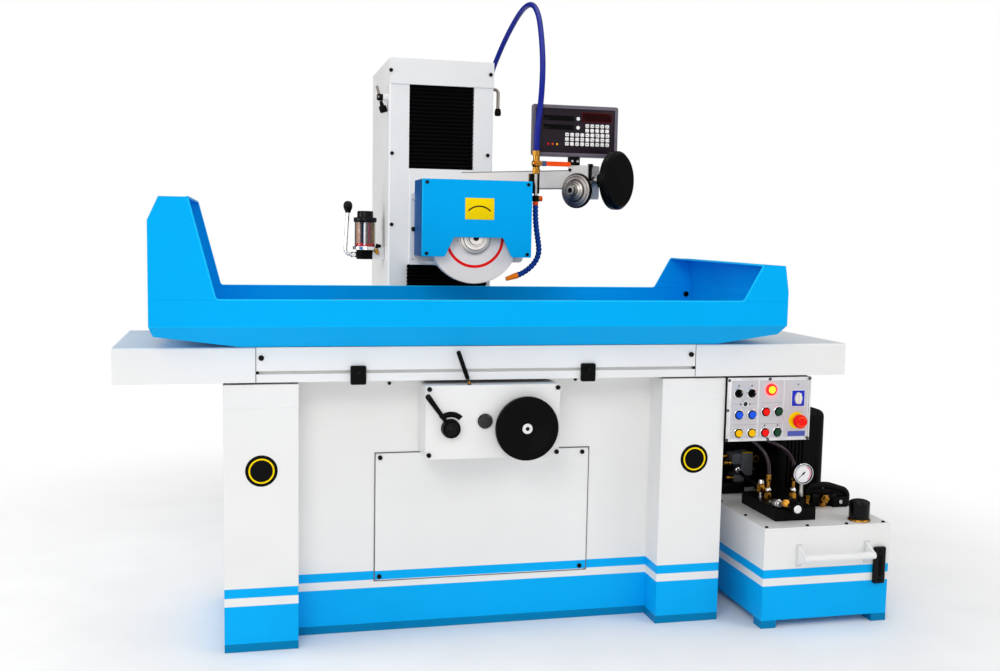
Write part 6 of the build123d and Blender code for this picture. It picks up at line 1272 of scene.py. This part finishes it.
filler = (1476, -368, 0)
turned(
    "filler_base", oiled_brass, "base", above, filler, 56, (0, 384.7), (43.2, 384.7), (43.2, 388.5),
    (41.5, 391.5), (38.5, 393.5), (30, 394),
)
turned(
    "filler_cap", gloss_black, "base", above, filler, 64, (30, 393), (38, 393.5), (39.2, 395), (39.2, 453),
    (38.7, 456.5), (37.2, 459.2), (34.5, 461.2), (28, 464.2), (18, 466.8), (8, 467.8), (0, 468),
)
boxes("level_gauge", gloss_black, "base", 5, ((1502, -450, 153), (1552, -431.8, 297)), segments=1)
boxes("level_window", screen_glass, "base", 0.6, ((1519, -450.6, 182), (1535, -449, 268)))
screws("level_screws", "base", front, 6, [(1527, -450, z) for z in (167.5, 282.5)], knob_black)
# A bright white rod along the lid's front and left top edges, which is a painted highlight
rod(
    "lid_edge_highlight", highlight_white, "base", 1.8, 3, (1045.5, 207.5, 384.5), (1045.5, -431.5, 384.5),
    (1571.5, -431.5, 384.5),
)
boxes(
    "handle_feet", plate_grey, "base", 1.2,
    *[((x, -434.6, 234), (x + 24, -431.6, 322)) for x in (1177, 1463)],
)
lid_spots = [(1062, -412), (1062, -235), (1062, -10), (1230, -414), (1395, -414), (1552, -414)]
lid_spots += [(1555, -110), (1555, 190), (1062, 192), (1250, 192)]
screws("lid_screws", "base", above, 6.5, [(x, y, 385) for x, y in lid_spots])

boxes("return_valve_foot", satin_black, "base", 4, ((1474, -176, 384.6), (1542, -128, 428)))
turned(
    "return_valve_body", satin_black, "base", towards_right, (1385, -152, 424), 32, (0, 0), (18, 0),
    (22, 3), (22, 20), (18, 23), (18, 86), (22, 89), (22, 107), (18, 110), (0, 110),
)
rod(
    "return_bend", satin_black, "base", 13.5, 20, (1368, -152, 430), (1368, -152, 468), (1452, -152, 476),
    (1548, -152, 446), (1548, -152, 385.2),
)
boxes("return_valve_plate", satin_black, "base", 2, ((1376, -156, 385), (1544, -148, 460)))
return_nut = [(0, 30), (8, 30), (10, 26), (17, 25), (19, 23), (19, 0)]
return_leg = [
    (0, 384.6), (16, 384.6), (16, 402), (12, 404), (12, 414), (15.5, 415), (15.5, 434), (13, 436),
]
turnings(
    "return_nuts", oiled_brass, "base",
    [
        (return_nut, front, (1433, -166, 424), 6), (return_leg, above, (1368, -152, 0), 6),
        (return_leg, above, (1440, -152, 0), 6),
    ],
)
screws("return_valve_screw", "base", front, 8, [(1508, -176, 408)], bright_steel)

boxes("cable_duct", moulded_black, "base", 4, ((1311.5, 220, 330), (1354, 300, 738.5)))
boxes("motor_cowl", satin_black, "base", 30, ((1452, -21.5, 400), (1519, 201.5, 759)), segments=5)
boxes("valve_stack_base", satin_black, "base", 3, ((1118, 106, 384.6), (1222, 200, 432)))
boxes(
    "valve_stack_bodies", valve_grey, "base", 4, ((1178, 118, 431.8), (1224, 184, 462)),
    ((1164, 115, 510), (1206, 185, 554)), ((1204, 110, 460), (1258, 188, 558)),
)
boxes("valve_stack_tag", sign_yellow, "base", 0.6, ((1212, 112, 557.2), (1256, 130, 559)))
nipple_places = [(1164, 130, 514), (1178, 130, 450), (1164, 160, 536)]
turned(
    "valve_stack_nipples", oiled_brass, "base", towards_left, nipple_places, 12, (0, 34), (6, 33.6),
    (8.5, 30), (8.5, 22), (6.5, 20), (6.5, 12), (10.5, 11), (10.5, 0),
)
union_ring = [(0, 26), (7, 26), (8.5, 22), (8.5, 10), (11, 9), (11, 0)]
turned("valve_stack_union", polished_rim, "base", front, (1190, 118, 486), 20, *union_ring)
turned("valve_stack_plug", polished_rim, "base", towards_right, (1256, 140, 486), 20, *union_ring)
rod(
    "valve_stack_pipe", satin_black, "base", 7.5, 15, (1190, 98, 486), (1196, 70, 470), (1270, 10, 420),
    (1285, -42, 412),
)
eye_place = (1274.5, 124, 530)
turned(
    "valve_stack_eye", oiled_brass, "base", front, eye_place, 32, (11, 0), (11, 7), (16.5, 7),
    (16.5, 0), (11, 0),
)
turned(
    "valve_stack_eye_core", moulded_black, "base", front, eye_place, 24, (0, 5), (4, 5), (5, 3),
    (11.2, 2.8), (11.2, 0),
)


# Floor, studio and soft light
def stage_finish():
    """Pale floor that is white to the camera and to polished metal, and still takes the shadow."""
    middle = (0.1, 0.4, 0)
    shadow_reach, white_reach = 1.6, 3.4
    finish = Finish("stage_pale")
    tone = finish.ramp(finish.grain(3, 2), (0.3, (0.90, 0.90, 0.90)), (0.7, (0.94, 0.94, 0.94)))
    finish.surface(base_color=tone, roughness=0.8)
    axes = finish.axes(middle)
    reach = finish.distance(axes["X"], axes["Y"])
    far = finish.add(
        "ShaderNodeMapRange", {"Value": reach, "From Min": shadow_reach, "From Max": white_reach},
        interpolation_type="SMOOTHSTEP",
    )
    seen = finish.seen(finish.add("ShaderNodeLightPath").outputs)
    glow = finish.add("ShaderNodeEmission", {"Color": (1, 1, 1, 1), "Strength": 1.0}).outputs["Emission"]
    share = finish.maths("MULTIPLY", seen, far.outputs["Result"])
    blend = finish.add("ShaderNodeMixShader", {0: share, 1: finish.shader.outputs["BSDF"], 2: glow})
    finish.feed(finish.tree.nodes["Material Output"].inputs["Surface"], blend.outputs["Shader"])
    return finish.material


work = bmesh.new()
bmesh.ops.create_grid(work, x_segments=1, y_segments=1, size=14)
floor = finished("floor", work, stage_finish())

world = bpy.data.worlds.new("studio")
scene.world = world
world.use_nodes = True
sky = Network(world.node_tree)
rays = sky.add("ShaderNodeLightPath").outputs
plain_light = sky.level(sky.seen(rays), 0.57, 1.0)
room = sky.add("ShaderNodeTexCoord").outputs["Generated"]
around = sky.add("ShaderNodeSeparateXYZ", {"Vector": room}).outputs
towards = sky.maths("MULTIPLY_ADD", around["Y"], -0.9, around["Z"])
softbox_range = {"From Min": -0.25, "From Max": 0.85, "To Min": 0.10, "To Max": 1.05}
softbox = sky.add("ShaderNodeMapRange", {"Value": towards, **softbox_range}).outputs["Result"]
mirrored = sky.add("ShaderNodeMix", {0: rays["Is Glossy Ray"], 2: plain_light, 3: softbox}).outputs[0]
background = world.node_tree.nodes["Background"].inputs
sky.feed(background["Strength"], mirrored)
sky.feed(background["Color"], (1, 1, 1, 1))


def soft_light(name, place, aim, size, power, colour=(1, 1, 1)):
    light = bpy.data.lights.new(name, "AREA")
    light.shape = "DISK"
    light.size = size / 1000
    light.energy = power
    light.color = colour
    lamp = bpy.data.objects.new(name, light)
    scene.collection.objects.link(lamp)
    lamp.matrix_world = facing(Vector(place) - Vector(aim), place)


soft_light("front_light", (-2600, -5200, 4200), (100, 0, 1100), 3000, 100, (1.0, 0.985, 0.965))
soft_light("low_light", (-600, -6000, 1300), (0, 0, 1250), 2400, 30, (1.0, 0.975, 0.95))
soft_light("left_light", (-5000, 200, 2400), (0, 600, 1300), 2600, 90, (1.0, 0.985, 0.97))
soft_light("side_light", (4600, -3000, 3600), (300, 0, 1000), 2600, 50)
soft_light("top_light", (300, 600, 5400), (200, 200, 1000), 4000, 55)
